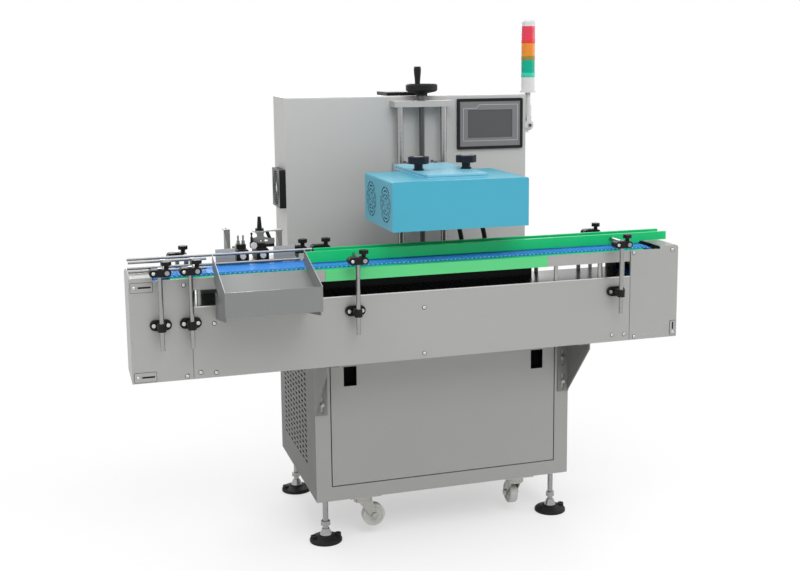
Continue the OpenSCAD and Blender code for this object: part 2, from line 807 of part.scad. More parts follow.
module deck_plastics() on_line() both_sides() {
    y0 = sheet + seat_gap + deck_rail_t;
    color(deck_green) box(coil_zone_x0, coil_zone_x1, sheet / 2, y0 - seat_gap, deck_bottom, deck_top);
    color(rail_green) {
        extrude_x(-shaft_x + 6, shaft_x - 6) rect(y0, belt_y0 - 1, strip_z, deck_top);
        extrude_x(-ledge_x, ledge_x) rect(y0, belt_y0 + ledge_w, strip_z, belt_top - belt_t);
    }
}

module coil_zone_frame() color(black_plastic) on_line() rear_side()
    box(coil_zone_x0 + 2, coil_zone_x1 - 2, belt_y0 + 2, belt_y0 + ledge_w - 2, skirt_top, strip_z);

// Belt: a point at a distance along the loop and a height off its middle line
function belt_point(s, off) =
    let (r = belt_mid_r + off)
    s < belt_straight ? [s - shaft_x, shaft_z + r] :
    s < belt_straight + belt_turn ?
        let (a = (s - belt_straight) / belt_mid_r * 180 / PI) [shaft_x + r * sin(a), shaft_z + r * cos(a)] :
    s < 2 * belt_straight + belt_turn ? [shaft_x - (s - belt_straight - belt_turn), shaft_z - r] :
        let (a = (s - 2 * belt_straight - belt_turn) / belt_mid_r * 180 / PI)
        [-shaft_x - r * sin(a), shaft_z - r * cos(a)];

module conveyor_belt() color(belt_blue) on_line() extrude_y(belt_y0, belt_y1) difference() {
    half = belt_t / 2;
    slit = half - belt_slit_depth;
    polygon([
        for (i = [0 : belt_links - 1], p = [[0, slit], [belt_slit, slit], [belt_slit, half], [link_pitch, half]])
            belt_point(min(i * link_pitch + p[0], belt_length - 0.001), p[1])
    ]);
    polygon([
        for (i = [0 : belt_links - 1], p = [
            [0, -half], [link_pitch - 5, -half], [link_pitch - 5, 2 - half], [link_pitch - 0.01, 2 - half]
        ]) belt_point(min(i * link_pitch + p[0], belt_length - 0.001), p[1])
    ]);
}

module belt_sprocket(y) extrude_y(y - sprocket_w / 2, y + sprocket_w / 2) difference() {
    circle(r = sprocket_r);
    for (i = [0 : sprocket_teeth - 1]) rotate(i * 360 / sprocket_teeth)
        translate([sprocket_r, 0]) circle(r = 2.6, $fn = 24);
}

// A belt shaft with its sprockets, at the middle of its own bore
module belt_shaft(y_end) {
    rod_y(shaft_d, 0, sheet + seat_gap, y_end, 0);
    for (y = [belt_y0 + sprocket_inset, belt_y1 - sprocket_inset]) belt_sprocket(y);
}

module drive_shaft() color(bright_steel) on_line() translate([shaft_x, 0, shaft_z]) {
    belt_shaft(beam_depth - sheet - seat_gap);
    rod_y(chain_wheel_d - 2 * run_clear, 0, chain_y0 - 1, chain_y0 + chain_w + 1, 0);
}

module idler_shaft() color(bright_steel) on_line() translate([-shaft_x, 0, shaft_z])
    belt_shaft(beam_depth - sheet - seat_gap);

module gear_motor() on_line() {
    mid_y = beam_depth / 2;
    gearbox_x0 = shaft_x - gearbox_w / 2;
    gearbox_y1 = mid_y + gearbox_depth / 2;
    color("#5a6068") {
        box(gearbox_x0, gearbox_x0 + gearbox_w, gearbox_y1 - gearbox_depth, gearbox_y1, beam_bottom_z + sheet,
            motor_z + gearbox_rise);
        rod_x(motor_d, gearbox_x0 - motor_len, gearbox_x0, mid_y, motor_z);
        rod_y(shaft_d, shaft_x, gearbox_y1, chain_y0 + chain_w + 1, motor_z);
        rod_y(chain_wheel_d - 2 * run_clear, shaft_x, chain_y0 - 1, chain_y0 + chain_w + 1, motor_z);
    }
    color(steel) extrude_y(chain_y0, chain_y0 + chain_w) translate([shaft_x, 0]) difference() {
        for (z = [shaft_z, motor_z]) translate([0, z]) circle(d = chain_wheel_d + 2 * chain_t);
        for (z = [shaft_z, motor_z]) translate([0, z]) circle(d = chain_wheel_d);
    }
    color(steel) extrude_y(chain_y0, chain_y0 + chain_w) for (s = [-1, 1])
        translate([shaft_x + s * (chain_wheel_d + chain_t) / 2, (shaft_z + motor_z) / 2])
            square([chain_t, shaft_z - motor_z], center = true);
}

// Bottle guides

// A post with its head clamp and knob, for the front of the beam
module guide_post(x) translate([x, -post_off, 0]) {
    top_z = head_clamp_z + head_clamp_h / 2;
    color(bright_steel) rod_z(post_d, 0, 0, post_bottom_z, top_z + 2);
    color(black_plastic) {
        difference() {
            extrude_y(-clamp_h / 2, clamp_h / 2) translate([0, head_clamp_z]) oblong(clamp_w, head_clamp_h);
            rod_z(post_d + 2 * shaft_clear, 0, 0, head_clamp_z - clamp_h, top_z + 1);
            rod_y(post_d + 2 * shaft_clear, cross_rod_dx, -clamp_h, clamp_h, head_clamp_z);
        }
        translate([cross_rod_dx, 0, top_z]) lobed_knob(clamp_knob_d, 10, 12, 8, 6);
    }
}

module front_rail_posts() on_line() for (x = front_rail_posts_x) guide_post(x);
module rear_rail_posts() on_line() rear_side() for (x = rear_rail_posts_x) guide_post(x);
module front_rod_posts() on_line() for (x = front_rod_posts_x) guide_post(x);
module rear_rod_posts() on_line() rear_side() for (x = rear_rod_posts_x) guide_post(x);

// A lower clamp on the skirt, with an upright bore for its post
module lower_clamp(x) difference() {
    translate([x, 0, lower_clamp_z]) {
        extrude_y(-10, 0) oblong(clamp_w, clamp_h);
        extrude_y(-post_off, -9) round_rect(-jaw_r, jaw_r, -jaw_h / 2, jaw_h / 2, 5);
        rod_z(2 * jaw_r, 0, -post_off, -jaw_h / 2, jaw_h / 2);
    }
    rod_z(post_d + 2 * shaft_clear, x, -post_off, lower_clamp_z - clamp_h, lower_clamp_z + clamp_h);
}

module post_clamps() color(black_plastic) on_line() {
    for (x = concat(front_rail_posts_x, front_rod_posts_x)) lower_clamp(x);
    rear_side() for (x = concat(rear_rail_posts_x, rear_rod_posts_x)) lower_clamp(x);
}

// Cross rods through the head clamps of the front side, up to a guide
module cross_rods(xs, y_guide) color(bright_steel) {
    y0 = -post_off - clamp_h / 2 - cross_rod_end;
    for (x = xs) rod_y(post_d, x + cross_rod_dx, y0, y_guide, head_clamp_z);
}

// Profile of a guide rail along its length: bevelled left end, raised under side over the end hood
module rail_outline(x0, bevel) polygon([
    [x0 + bevel, rail_z], [seam_x + 60, rail_z], [seam_x + 66, rail_z + 6], [rail_x1, rail_z + 6],
    [rail_x1, rail_z + rail_h], [x0, rail_z + rail_h], [x0, rail_z + rail_h - 4]
]);

module front_guide_rail() on_line() {
    color(rail_green) extrude_y(path_front_y - rail_t, path_front_y) rail_outline(front_rail_x0, 0);
    cross_rods(front_rail_posts_x, path_front_y - rail_t - seat_gap);
}

module rear_guide_rail() on_line() {
    color(rail_green) extrude_y(path_rear_y, path_rear_y + rail_t) rail_outline(rear_rail_x0, 18);
    rear_side() cross_rods(rear_rail_posts_x, beam_depth - path_rear_y - rail_t - seat_gap);
}

// An upper and a lower guide rod with the bars that join them
module guide_rods(x0, x1_up, x1_low, y, bar_xs, bar_y) color(bright_steel) {
    rod_x(guide_rod_d, x0, x1_up, y, rod_low_z + guide_rod_pitch);
    rod_x(guide_rod_d, x0, x1_low, y, rod_low_z);
    for (x = bar_xs) box(x + cross_rod_dx - 6, x + cross_rod_dx + 6, min(y, bar_y), max(y, bar_y),
        rod_low_z - guide_rod_d / 2, rod_low_z + guide_rod_pitch + guide_rod_d / 2);
}

module infeed_rods_front() on_line() {
    y = path_front_y - guide_rod_d / 2;
    guide_rods(rod_x0, rod_front_x1, rod_front_x1, y, front_rod_posts_x, y - guide_rod_d / 2 - 5);
    cross_rods(front_rod_posts_x, y - guide_rod_d / 2 - 5);
}

module infeed_rods_rear() on_line() {
    y = path_rear_y + guide_rod_d / 2;
    bar_y = y + guide_rod_d / 2 + 5;
    x1 = rear_rail_x0 - 4;
    guide_rods(rod_x0, x1, front_rail_x0 - 4, y, [rear_rod_posts_x[0]], bar_y);
    guide_rods(rear_rod_posts_x[1], x1, x1, y, [rear_rod_posts_x[1]], bar_y);
    rear_side() cross_rods(rear_rod_posts_x, beam_depth - bar_y);
}

// Reject station

module tray_side() polygon([
    [tray_lip_y, tray_lip_z], [tray_lip_y, tray_back_z + tray_back_h], [-tray_reach, tray_hem_z + tray_wall],
    [-tray_reach, tray_hem_z], [-seat_gap, tray_back_z - tray_hem], [-seat_gap, tray_lip_z]
]);

// Upright bracket under one side of the tray, with a flange on the beam
module tray_bracket(x) {
    z0 = skirt_top - bracket_drop;
    slope = tray_drop / tray_reach;
    knee_z = tray_back_z - bracket_knee * slope - tray_hem - 2;
    extrude_x(x, x + bracket_t) polygon([
        [0, z0], [0, z0 + bracket_h], [-bracket_knee, knee_z], [-tray_reach + bracket_nose, tray_hem_z + 4],
        [-tray_reach + bracket_nose - 2, tray_hem_z - bracket_tip]
    ]);
    box(x, x + bracket_foot, -bracket_t, 0, z0, skirt_top - 4);
}

module reject_tray() color(steel) on_line() {
    extrude_x(tray_x0, tray_x0 + tray_t) tray_side();
    extrude_x(tray_x1 - tray_t, tray_x1) tray_side();
    extrude_x(tray_x0, tray_x1) polygon([
        [-seat_gap, tray_back_z], [-seat_gap, tray_back_z - tray_t], [-tray_reach, tray_floor_front - tray_t],
        [-tray_reach, tray_floor_front]
    ]);
    box(tray_x0, tray_x1, -tray_reach, -tray_reach + tray_t, tray_hem_z, tray_hem_z + tray_wall);
    for (x = [tray_x0 + tray_t, tray_x1 - tray_t - bracket_t]) tray_bracket(x);
}

// One pneumatic cylinder with its valve block and two push-in fittings
module push_cylinder(x) {
    y0 = pusher_y + 6 + seat_gap;
    y1 = y0 + piston_len + 8;
    half = cylinder_w / 2;
    top = pusher_z + half;
    color(black_plastic) difference() {
        extrude_y(y0, y1) translate([x, pusher_z]) round_rect(-half, half, -half, half, 4);
        rod_y(piston_d + 2 * shaft_clear, x, y0 - 1, y1 - 4, pusher_z);
    }
    color(black_plastic) box(x - 13, x + 13, y0 + 24, y0 + 46, top, top + 12);
    color(bright_steel) for (s = [-1, 1]) translate([x + s * 7, y0 + 35, top + 12]) {
        cylinder(d = 9, h = 10);
        cylinder(d = 5, h = 24);
    }
}

// Angle with a slotted top, standing on the shelf of the reject unit
module slotted_angle(x, h) difference() {
    y0 = pusher_y + 40;
    top = reject_shelf_z + h;
    union() {
        box(x, x + angle_w, y0, y0 + reject_shelf_t, reject_shelf_z + reject_shelf_t, top);
        box(x, x + angle_w, y0, y0 + angle_depth, top - reject_shelf_t, top);
    }
    translate([x + angle_w / 2, y0 + 20, top - reject_shelf_t - 1])
        linear_extrude(reject_shelf_t + 2) rotate(90) oblong(18, 6);
}

module reject_unit() on_line() {
    t = reject_shelf_t;
    x0 = pusher_x - shelf_left;
    x1 = pusher_x + shelf_right;
    shelf_y0 = pusher_y + 2;
    sensor_x = pusher_x + pusher_pitch / 2;
    sensor_y = pusher_y + 54;
    sensor_r = 6;
    plate_z = reject_shelf_z + angle_hs[1] + seat_gap;
    color(steel) {
        box(x0, x1, shelf_y0, shelf_y0 + shelf_depth, reject_shelf_z, reject_shelf_z + t);
        box(x0 - backplate_left, x1 - 30, beam_depth, beam_depth + t, skirt_top - 46, reject_shelf_z + 1);
        for (x = [[x0, x0 + 54], [x1 - 60, x1]])
            box(x[0], x[1], shelf_y0, shelf_y0 + sheet, reject_shelf_z, reject_shelf_z + shelf_wall);
        slotted_angle(pusher_x - 74, angle_hs[0]);
        slotted_angle(pusher_x + 72, angle_hs[1]);
        difference() {
            box(sensor_x - 20, sensor_x + 64, sensor_y - 13, sensor_y + 13, plate_z, plate_z + t);
            rod_z(2 * (sensor_r + 0.1), sensor_x, sensor_y, plate_z - 1, plate_z + t + 1);
        }
    }
    for (s = [-1, 1]) push_cylinder(pusher_x + s * pusher_pitch / 2);
    color(black_plastic) translate([sensor_x, sensor_y, plate_z]) rotate_extrude() polygon([
        [0, -22], [sensor_r, -22], [sensor_r, t + seat_gap], [2 * sensor_r, t + seat_gap],
        [2 * sensor_r, t + 6], [sensor_r + 1, t + 6], [sensor_r - 1.5, t + 39], [0, t + 39]
    ]);
}

module pusher(x) color(bright_steel) on_line() {
    rod_y(pusher_d, x, pusher_y, pusher_y + 6, pusher_z);
    rod_y(piston_d, x, pusher_y + 5, pusher_y + 6 + piston_len, pusher_z);
}

module pusher_left() pusher(pusher_x - pusher_pitch / 2);
module pusher_right() pusher(pusher_x + pusher_pitch / 2);

// Control cabinet

module control_cabinet() color(pale_steel) on_line() difference() {
    extrude_x(cab_x0, cab_x1) round_rect(control_y0, base_y1, base_top, control_top, 4);
    box(cab_x0 + sheet, cab_x1 - sheet, control_y0 + sheet, base_y1 - sheet, base_top + sheet,
        control_top - sheet);
    rod_x(fan_w - 10, cab_x0 - 1, cab_x0 + sheet + 1, fan_y, fan_z);
}

module top_cover_plate() color(black_plastic) on_line()
    box(column_x - 94, column_x + 40, control_y0 + 40, control_y0 + 160, control_top, control_top + 11);

module touch_panel() on_line() {
    y0 = control_y0 - touch_t;
    rim = touch_rim + seat_gap;
    mid_x = (touch_x0 + touch_x1) / 2;
    mid_z = (touch_z0 + touch_z1) / 2;
    color("#2c2e33") extrude_y(y0, control_y0) difference() {
        round_rect(touch_x0, touch_x1, touch_z0, touch_z1, 4);
        rect(touch_x0 + touch_rim, touch_x1 - touch_rim, touch_z0 + touch_rim, touch_z1 - touch_rim);
    }
    color("#7c7e82") extrude_y(y0 + 1.5, control_y0) difference() {
        rect(touch_x0 + rim, touch_x1 - rim, touch_z0 + rim, touch_z1 - rim);
        translate([mid_x, mid_z]) square([screen_w, screen_h], center = true);
    }
    color("#5a5b5d") extrude_y(y0 + 3, control_y0) translate([mid_x, mid_z])
        square([screen_w - 2 * seat_gap, screen_h - 2 * seat_gap], center = true);
}

// Fan: a square frame with a ring guard outside and a spider that carries the hub inside
module fan_housing() color(black_plastic) on_line() {
    duct_d = fan_w - 8;
    extrude_x(cab_x0 - fan_t, cab_x0) translate([fan_y, fan_z]) difference() {
        round_rect(-fan_w / 2, fan_w / 2, -fan_w / 2, fan_w / 2, 5);
        circle(d = duct_d);
    }
    extrude_x(cab_x0 - fan_t, cab_x0 - fan_t + 2) translate([fan_y, fan_z]) {
        for (d = [42 : 14 : duct_d]) difference() {
            circle(d = d);
            circle(d = d - 5);
        }
        for (a = [45 : 90 : 315]) rotate(a) rect(16, duct_d / 2 + 2, -2, 2);
    }
    difference() {
        extrude_x(cab_x0 - 4, cab_x0) translate([fan_y, fan_z]) {
            circle(d = 44);
            for (a = [0 : 90 : 270]) rotate(a) rect(20, duct_d / 2 + 2, -3, 3);
        }
        rod_x(6 + 2 * shaft_clear, cab_x0 - 5, cab_x0 + 1, fan_y, fan_z);
    }
}

module fan_rotor() color("#3a3a3c") on_line() {
    x0 = cab_x0 - fan_t + 2.5;
    x1 = cab_x0 - 4.5;
    pitch = 32;
    chord = (x1 - x0 - 2.4) / sin(pitch);
    rod_x(36, x0, x1, fan_y, fan_z);
    rod_x(6, x1 - 1, cab_x0, fan_y, fan_z);
    for (i = [0 : fan_blades - 1])
        translate([(x0 + x1) / 2, fan_y, fan_z]) rotate([i * 360 / fan_blades, 0, 0]) translate([0, 0, 15])
            rotate([0, 0, pitch]) translate([-1, -chord / 2, 0]) cube([2, chord, fan_w / 2 - 23]);
}

// Lift column

module lift_column() on_line() {
    x0 = column_x - column_w / 2;
    x1 = column_x + column_w / 2;
    y0 = control_y0 - column_depth;
    color(pale_steel) for (z = [base_top, column_top - column_t]) difference() {
        box(x0, x1, y0, control_y0, z, z + column_t);
        for (x = lift_rod_xs) rod_z(lift_rod_d + 2 * shaft_clear, x, column_y, base_top + 8, column_top - 8);
        rod_z(screw_d + 2 * shaft_clear, column_x, column_y, base_top + 8, column_top + 1);
    }
    color(bright_steel) for (x = lift_rod_xs)
        rod_z(lift_rod_d, x, column_y, base_top + 8 + seat_gap, column_top - 8 - seat_gap);
}

module lead_screw() color(bright_steel) on_line() {
    rod_z(screw_d, column_x, column_y, base_top + 8 + seat_gap, wheel_z0 + screw_stub);
    rod_z(screw_d + 8, column_x, column_y, column_top + run_clear, collar_top);
}

module handwheel() on_line() {
    r = handwheel_d / 2;
    bore_r = screw_d / 2 + shaft_clear;
    hub_r = screw_d / 2 + 9;
    rim_z = wheel_top - wheel_z0;
    pin_z = rim_z - 14;
    color(black_plastic) translate([column_x, column_y, wheel_z0]) difference() {
        rotate_extrude($fn = 72) polygon([
            [bore_r, 0], [hub_r, 0], [hub_r + 1, 7], [r - 8, 12], [r - 3, 14], [r, 18], [r, rim_z - 4],
            [r - 4, rim_z], [r - 10, rim_z - 1], [r - 13, rim_z - 8], [hub_r + 3, rim_z - 10],
            [hub_r - 1, rim_z - 5], [0, rim_z - 5], [0, screw_stub + seat_gap], [bore_r, screw_stub + seat_gap]
        ]);
        translate([grip_x - column_x, grip_y - column_y, pin_z]) cylinder(d = grip_pin_d + 2 * shaft_clear, h = 20);
    }
    color(bright_steel) rod_z(grip_pin_d, grip_x, grip_y, wheel_z0 + pin_z, wheel_top + grip_len - 4);
}

module crank_grip() color(black_plastic) on_line() translate([grip_x, grip_y, wheel_top + run_clear])
    rotate_extrude() polygon([
        [grip_pin_d / 2 + shaft_clear, 0], [8, 0], [8.5, 10], [11, 0.66 * grip_len], [11.5, 0.85 * grip_len],
        [10, grip_len], [0, grip_len], [0, grip_len - 4], [grip_pin_d / 2 + shaft_clear, grip_len - 4]
    ]);

module lift_carriage() color(pale_steel) on_line() difference() {
    arm_z0 = head_top - 40;
    y0 = control_y0 - column_depth + 4;
    union() {
        box(carriage_x0, carriage_x1, y0, control_y0 - 4, head_top - carriage_h, head_top);
        for (x = [head_mid_x - 20, head_mid_x + 56]) box(x, x + 30, head_y1 + 6, y0 + 1, arm_z0, head_top);
    }
    for (x = lift_rod_xs) rod_z(lift_rod_d + 2 * shaft_clear, x, column_y, head_top - carriage_h - 1, head_top + 1);
    rod_z(screw_d + 2 * shaft_clear, column_x, column_y, head_top - carriage_h - 1, head_top + 1);
}

// Sealing head

module knob_places() for (s = [-1, 1]) translate([arm_x + s * knob_pitch / 2, knob_y, 0]) children();

module head_arm_plate() color(head_blue) on_line() difference() {
    translate([0, 0, head_top]) linear_extrude(arm_t)
        round_rect(arm_x - arm_w / 2, arm_x + arm_w / 2, arm_y0, arm_y1, 4);
    knob_places() rod_z(stud_d + 2 * shaft_clear, 0, 0, head_top - 1, arm_top + 1);
}

// A round vent: rings of short arc slots
module round_vent() for (i = [1 : 5]) difference() {
    d = head_vent_d * i / 5;
    circle(d = d);
    circle(d = d - 7);
    for (a = [0 : 180 / (i < 3 ? 2 : 3) : 179]) rotate(a + i * 30) square([head_vent_d + 2, 7], center = true);
}

module head_cover() color(head_blue) on_line() difference() {
    extrude_y(head_y0, head_y1) {
        round_rect(head_x0, head_x1, head_z + 10, head_top, head_r);
        rect(head_x0, head_x1, head_z, head_top - head_r);
    }
    box(head_x0 + sheet, head_x1 - sheet, head_y0 + sheet, head_y1 - sheet, head_z - 1, head_top - sheet);
    extrude_x(head_x0 - 1, head_x0 + sheet + 1) for (s = [-1, 1])
        translate([path_y + s * head_vent_pitch / 2, head_z + head_h / 2]) round_vent();
    knob_places() rod_z(stud_d + 2 * shaft_clear, 0, 0, head_top - sheet - 1, head_top + 1);
}

// Bottom plate of the head with the coil former on it and a gland for each coil cable
module coil_tray() on_line() {
    gap = sheet + seat_gap;
    color(white_plastic) {
        box(head_x0 + gap, head_x1 - gap, head_y0 + gap, head_y1 - gap, head_z, head_z + coil_plate_t);
        box(head_x0 + coil_inset, head_x1 - coil_inset, path_y - coil_depth / 2, path_y + coil_depth / 2,
            head_z + coil_plate_t, head_z + coil_h);
    }
    color(black_plastic) for (x = cable_xs) translate([x, cable_y, head_z - cable_gland_h])
        cylinder(d = gland_d, h = cable_gland_h - seat_gap, $fn = 6);
}

module star_knob(s) color("#1b2430") on_line()
    translate([arm_x + s * knob_pitch / 2, knob_y, arm_top + seat_gap]) {
        lobed_knob(knob_d, 20, 25, 19, 6);
        cylinder(d = 31, h = 4);
        translate([0, 0, -arm_t - 14]) cylinder(d = stud_d, h = arm_t + 15);
    }

module star_knob_left() star_knob(-1);
module star_knob_right() star_knob(1);

// Cables: rings swept along a smooth curve through the route
function unit(v) = v / norm(v);
function curve(p, i, t) =
    let (a = p[max(i - 1, 0)], b = p[i], c = p[i + 1], d = p[min(i + 2, len(p) - 1)])
    0.5 * (2 * b + (c - a) * t + (2 * a - 5 * b + 4 * c - d) * t * t + (3 * b - a - 3 * c + d) * t * t * t);
function curve_points(p, n) = [for (i = [0 : len(p) - 2], k = [0 : n - 1]) curve(p, i, k / n), p[len(p) - 1]];

module swept_tube(path, d, sides) {
    last = len(path) - 1;
    rings = [for (i = [0 : last])
        let (t = unit(path[min(i + 1, last)] - path[max(i - 1, 0)]))
        let (u = unit(cross(t, [1, 0, 0])), v = cross(u, t))
        for (k = [0 : sides - 1]) path[i] + d / 2 * (cos(k * 360 / sides) * u + sin(k * 360 / sides) * v)];
    faces = concat(
        [[for (k = [0 : sides - 1]) k]],
        [[for (k = [sides - 1 : -1 : 0]) last * sides + k]],
        [for (i = [0 : last - 1], k = [0 : sides - 1])
            let (n = (k + 1) % sides)
            [i * sides + k, (i + 1) * sides + k, (i + 1) * sides + n, i * sides + n]]
    );
    polyhedron(rings, faces);
}

module head_cables() color(black_plastic) on_line() for (x = cable_xs) {
    start = [x, cable_y, head_z - cable_gland_h - seat_gap];
    drop = start[2] - (base_top + cable_gland_h + seat_gap);
    route = [for (p = cable_route) start + [p[0], p[1], -p[2] * drop]];
    swept_tube(curve_points(route, 3), cable_d, 10);
}

// Signal tower

module tower_bracket() color(white_plastic) on_line() difference() {
    union() {
        box(cab_x1, cab_x1 + 4, tower_y - 20, tower_y + 20, tower_joint_z - 32, tower_joint_z + 24);
        box(cab_x1 + 3, tower_x, tower_y - 7, tower_y + 7, tower_joint_z - 24, tower_joint_z + 8);
        rod_y(2 * knuckle_r, tower_x, tower_y - 7, tower_y + 7, tower_joint_z);
    }
    rod_y(10 + 2 * shaft_clear, tower_x, tower_y - 8, tower_y + 8, tower_joint_z);
    box(cab_x1 - 30, cab_x1, tower_y - 30, tower_y + 30, tower_joint_z - 50, tower_joint_z + 50);
}

module tower_body() color(white_plastic) on_line() translate([tower_x, tower_y, 0]) {
    cheek_y = 7 + run_clear;
    for (s = [0, 1]) mirror([0, s, 0]) extrude_y(cheek_y, cheek_y + 5) {
        translate([0, tower_joint_z]) circle(r = knuckle_r - 4);
        rect(-8, 8, tower_joint_z, tower_joint_z + knuckle_r + 10);
    }
    rod_y(10, 0, -cheek_y - 4, cheek_y + 4, tower_joint_z);
    box(-8, 8, -cheek_y - 5, cheek_y + 5, tower_joint_z + knuckle_r + 3, tower_joint_z + knuckle_r + 12);
    rod_z(pole_d + 6, 0, 0, tower_joint_z + knuckle_r + 11, tower_joint_z + 66);
    rod_z(pole_d, 0, 0, tower_joint_z + 60, tower_base_z + 1);
    rod_z(lens_d + 8, 0, 0, tower_base_z, tower_base_z + 6);
    rod_z(lens_d, 0, 0, tower_base_z + 5, lens_z);
    rod_z(16, 0, 0, lens_z - 1, tower_top - 17);
    translate([0, 0, lens_z + 3 * lens_h]) rotate_extrude()
        polygon([[0, 0], [lens_d / 2, 0], [lens_d / 2, 14], [lens_d / 2 - 6, 20], [0, 20]]);
}

module lens(i, c) color(c) on_line() translate([tower_x, tower_y, lens_z + i * lens_h]) difference() {
    union() {
        cylinder(d = lens_d, h = lens_h);
        for (z = [8 : 9 : lens_h - 8]) translate([0, 0, z]) cylinder(d = lens_d + 0.8, h = 4);
    }
    translate([0, 0, -1]) cylinder(d = lens_d - 6, h = lens_h + 2);
}

module lens_green() lens(0, "#19a587");
module lens_amber() lens(1, "#eb9632");
module lens_red() lens(2, "#e1465f");

base_shell();
base_side_panels();
base_front_frame();
base_gussets();
front_panel();
power_unit();
levelling_feet();
caster_plates();
caster_fork_fl();
caster_fork_fr();
caster_fork_rl();
caster_fork_rr();
caster_wheel_fl();
caster_wheel_fr();
caster_wheel_rl();
caster_wheel_rr();
conveyor_channel();
end_cover_left();
end_cover_right();
deck_rails();
deck_plastics();
coil_zone_frame();
conveyor_belt();
drive_shaft();
idler_shaft();
gear_motor();
front_rail_posts();
rear_rail_posts();
front_rod_posts();
rear_rod_posts();
post_clamps();
front_guide_rail();
rear_guide_rail();
infeed_rods_front();
infeed_rods_rear();
reject_tray();
reject_unit();
pusher_left();
pusher_right();
control_cabinet();
top_cover_plate();
touch_panel();
fan_housing();
fan_rotor();
lift_column();
lead_screw();
handwheel();
crank_grip();
lift_carriage();
head_arm_plate();
head_cover();
coil_tray();
star_knob_left();
star_knob_right();
head_cables();
tower_bracket();
tower_body();
lens_green();
lens_amber();
lens_red();
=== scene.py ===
"""Looks of an induction cap sealer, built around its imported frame. All sizes are in metres."""

import json
import math

import bmesh
import bpy
from mathutils import Matrix, Vector


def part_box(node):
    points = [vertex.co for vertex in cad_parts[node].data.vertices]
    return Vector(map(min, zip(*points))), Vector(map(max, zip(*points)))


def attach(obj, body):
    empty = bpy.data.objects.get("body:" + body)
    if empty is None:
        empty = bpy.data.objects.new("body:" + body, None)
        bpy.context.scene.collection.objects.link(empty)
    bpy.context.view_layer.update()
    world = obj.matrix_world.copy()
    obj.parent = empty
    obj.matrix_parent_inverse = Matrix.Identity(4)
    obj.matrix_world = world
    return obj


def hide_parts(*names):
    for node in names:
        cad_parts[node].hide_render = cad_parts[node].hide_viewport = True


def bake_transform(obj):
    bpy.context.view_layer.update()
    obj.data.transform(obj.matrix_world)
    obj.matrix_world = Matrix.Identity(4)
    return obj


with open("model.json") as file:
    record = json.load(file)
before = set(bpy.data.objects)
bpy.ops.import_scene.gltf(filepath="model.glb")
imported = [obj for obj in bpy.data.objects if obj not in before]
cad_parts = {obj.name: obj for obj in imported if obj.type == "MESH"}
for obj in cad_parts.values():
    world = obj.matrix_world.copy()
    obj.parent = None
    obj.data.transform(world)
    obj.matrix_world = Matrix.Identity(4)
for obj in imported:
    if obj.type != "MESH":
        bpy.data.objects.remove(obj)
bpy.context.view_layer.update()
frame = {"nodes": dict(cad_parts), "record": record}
nodes = frame["nodes"]

RIGHT = Vector((1, 0, 0))
FRONT = Vector((0, -1, 0))
BACK = Vector((0, 1, 0))
UP = Vector((0, 0, 1))
CORNERS = ("fl", "fr", "rl", "rr")


def add_object(name, data):
    """A new object in the scene."""
    item = bpy.data.objects.new(name, data)
    bpy.context.scene.collection.objects.link(item)
    return item


# Camera, solved from the straight edges of the beam and the cabinets
CAMERA_PLACE = Vector((-0.966, -3.2915, 1.436))
CAMERA_YAW = math.radians(-18.217)
CAMERA_PITCH = math.radians(8.914)
CAMERA_ROLL = math.radians(-0.309)
CAMERA_LENS = 52.40
CAMERA_SENSOR = 36
CAMERA_SHIFT = (-0.045, -0.06)


def make_camera():
    """A camera at the photograph's viewing angle."""
    data = bpy.data.cameras.new("camera")
    data.lens = CAMERA_LENS
    data.sensor_width = CAMERA_SENSOR
    data.shift_x, data.shift_y = CAMERA_SHIFT
    camera = add_object("camera", data)
    turn = Matrix.Rotation(CAMERA_YAW, 4, "Z") @ Matrix.Rotation(math.pi / 2 - CAMERA_PITCH, 4, "X")
    camera.matrix_world = Matrix.Translation(CAMERA_PLACE) @ turn @ Matrix.Rotation(CAMERA_ROLL, 4, "Z")
    bpy.context.scene.camera = camera


# Materials
NOISE_DETAIL = 4.0
CLOUD_SCALE = 5.0
CLOUD_SHARE = 0.35
NOISE_LOW = 0.3
NOISE_HIGH = 0.7
LEAST_ROUGHNESS = 0.03


def srgb(red, green, blue):
    """A colour given as it looks on screen, from 0 to 255, as the linear colour that shaders use."""
    linear = []
    for value in (red, green, blue):
        share = value / 255
        linear.append(share / 12.92 if share <= 0.04045 else ((share + 0.055) / 1.055) ** 2.4)
    return (*linear, 1.0)


def shade(color, factor):
    """A colour made lighter or darker."""
    return (*(min(1.0, c * factor) for c in color[:3]), 1.0)


def fill(tree, node, **values):
    """Links each output given to the node's socket of that name, and sets each other value there."""
    for name, value in values.items():
        socket = node.inputs[name.replace("_", " ")]
        if isinstance(value, bpy.types.NodeSocket):
            tree.links.new(value, socket)
        else:
            socket.default_value = value


def add_node(tree, kind, **values):
    """A new shader node, with its sockets filled."""
    node = tree.nodes.new("ShaderNode" + kind)
    fill(tree, node, **values)
    return node


def math_node(tree, operation, first, second):
    """The output of a math node that two outputs feed."""
    node = add_node(tree, "Math")
    node.operation = operation
    tree.links.new(first, node.inputs[0])
    tree.links.new(second, node.inputs[1])
    return node.outputs["Value"]


def mix_shaders(tree, share, first, second, output):
    """Feeds a blend of two shaders to the tree's output."""
    mix = add_node(tree, "MixShader", Fac=share)
    tree.links.new(first, mix.inputs[1])
    tree.links.new(second, mix.inputs[2])
    fill(tree, tree.nodes[output], Surface=mix.outputs["Shader"])


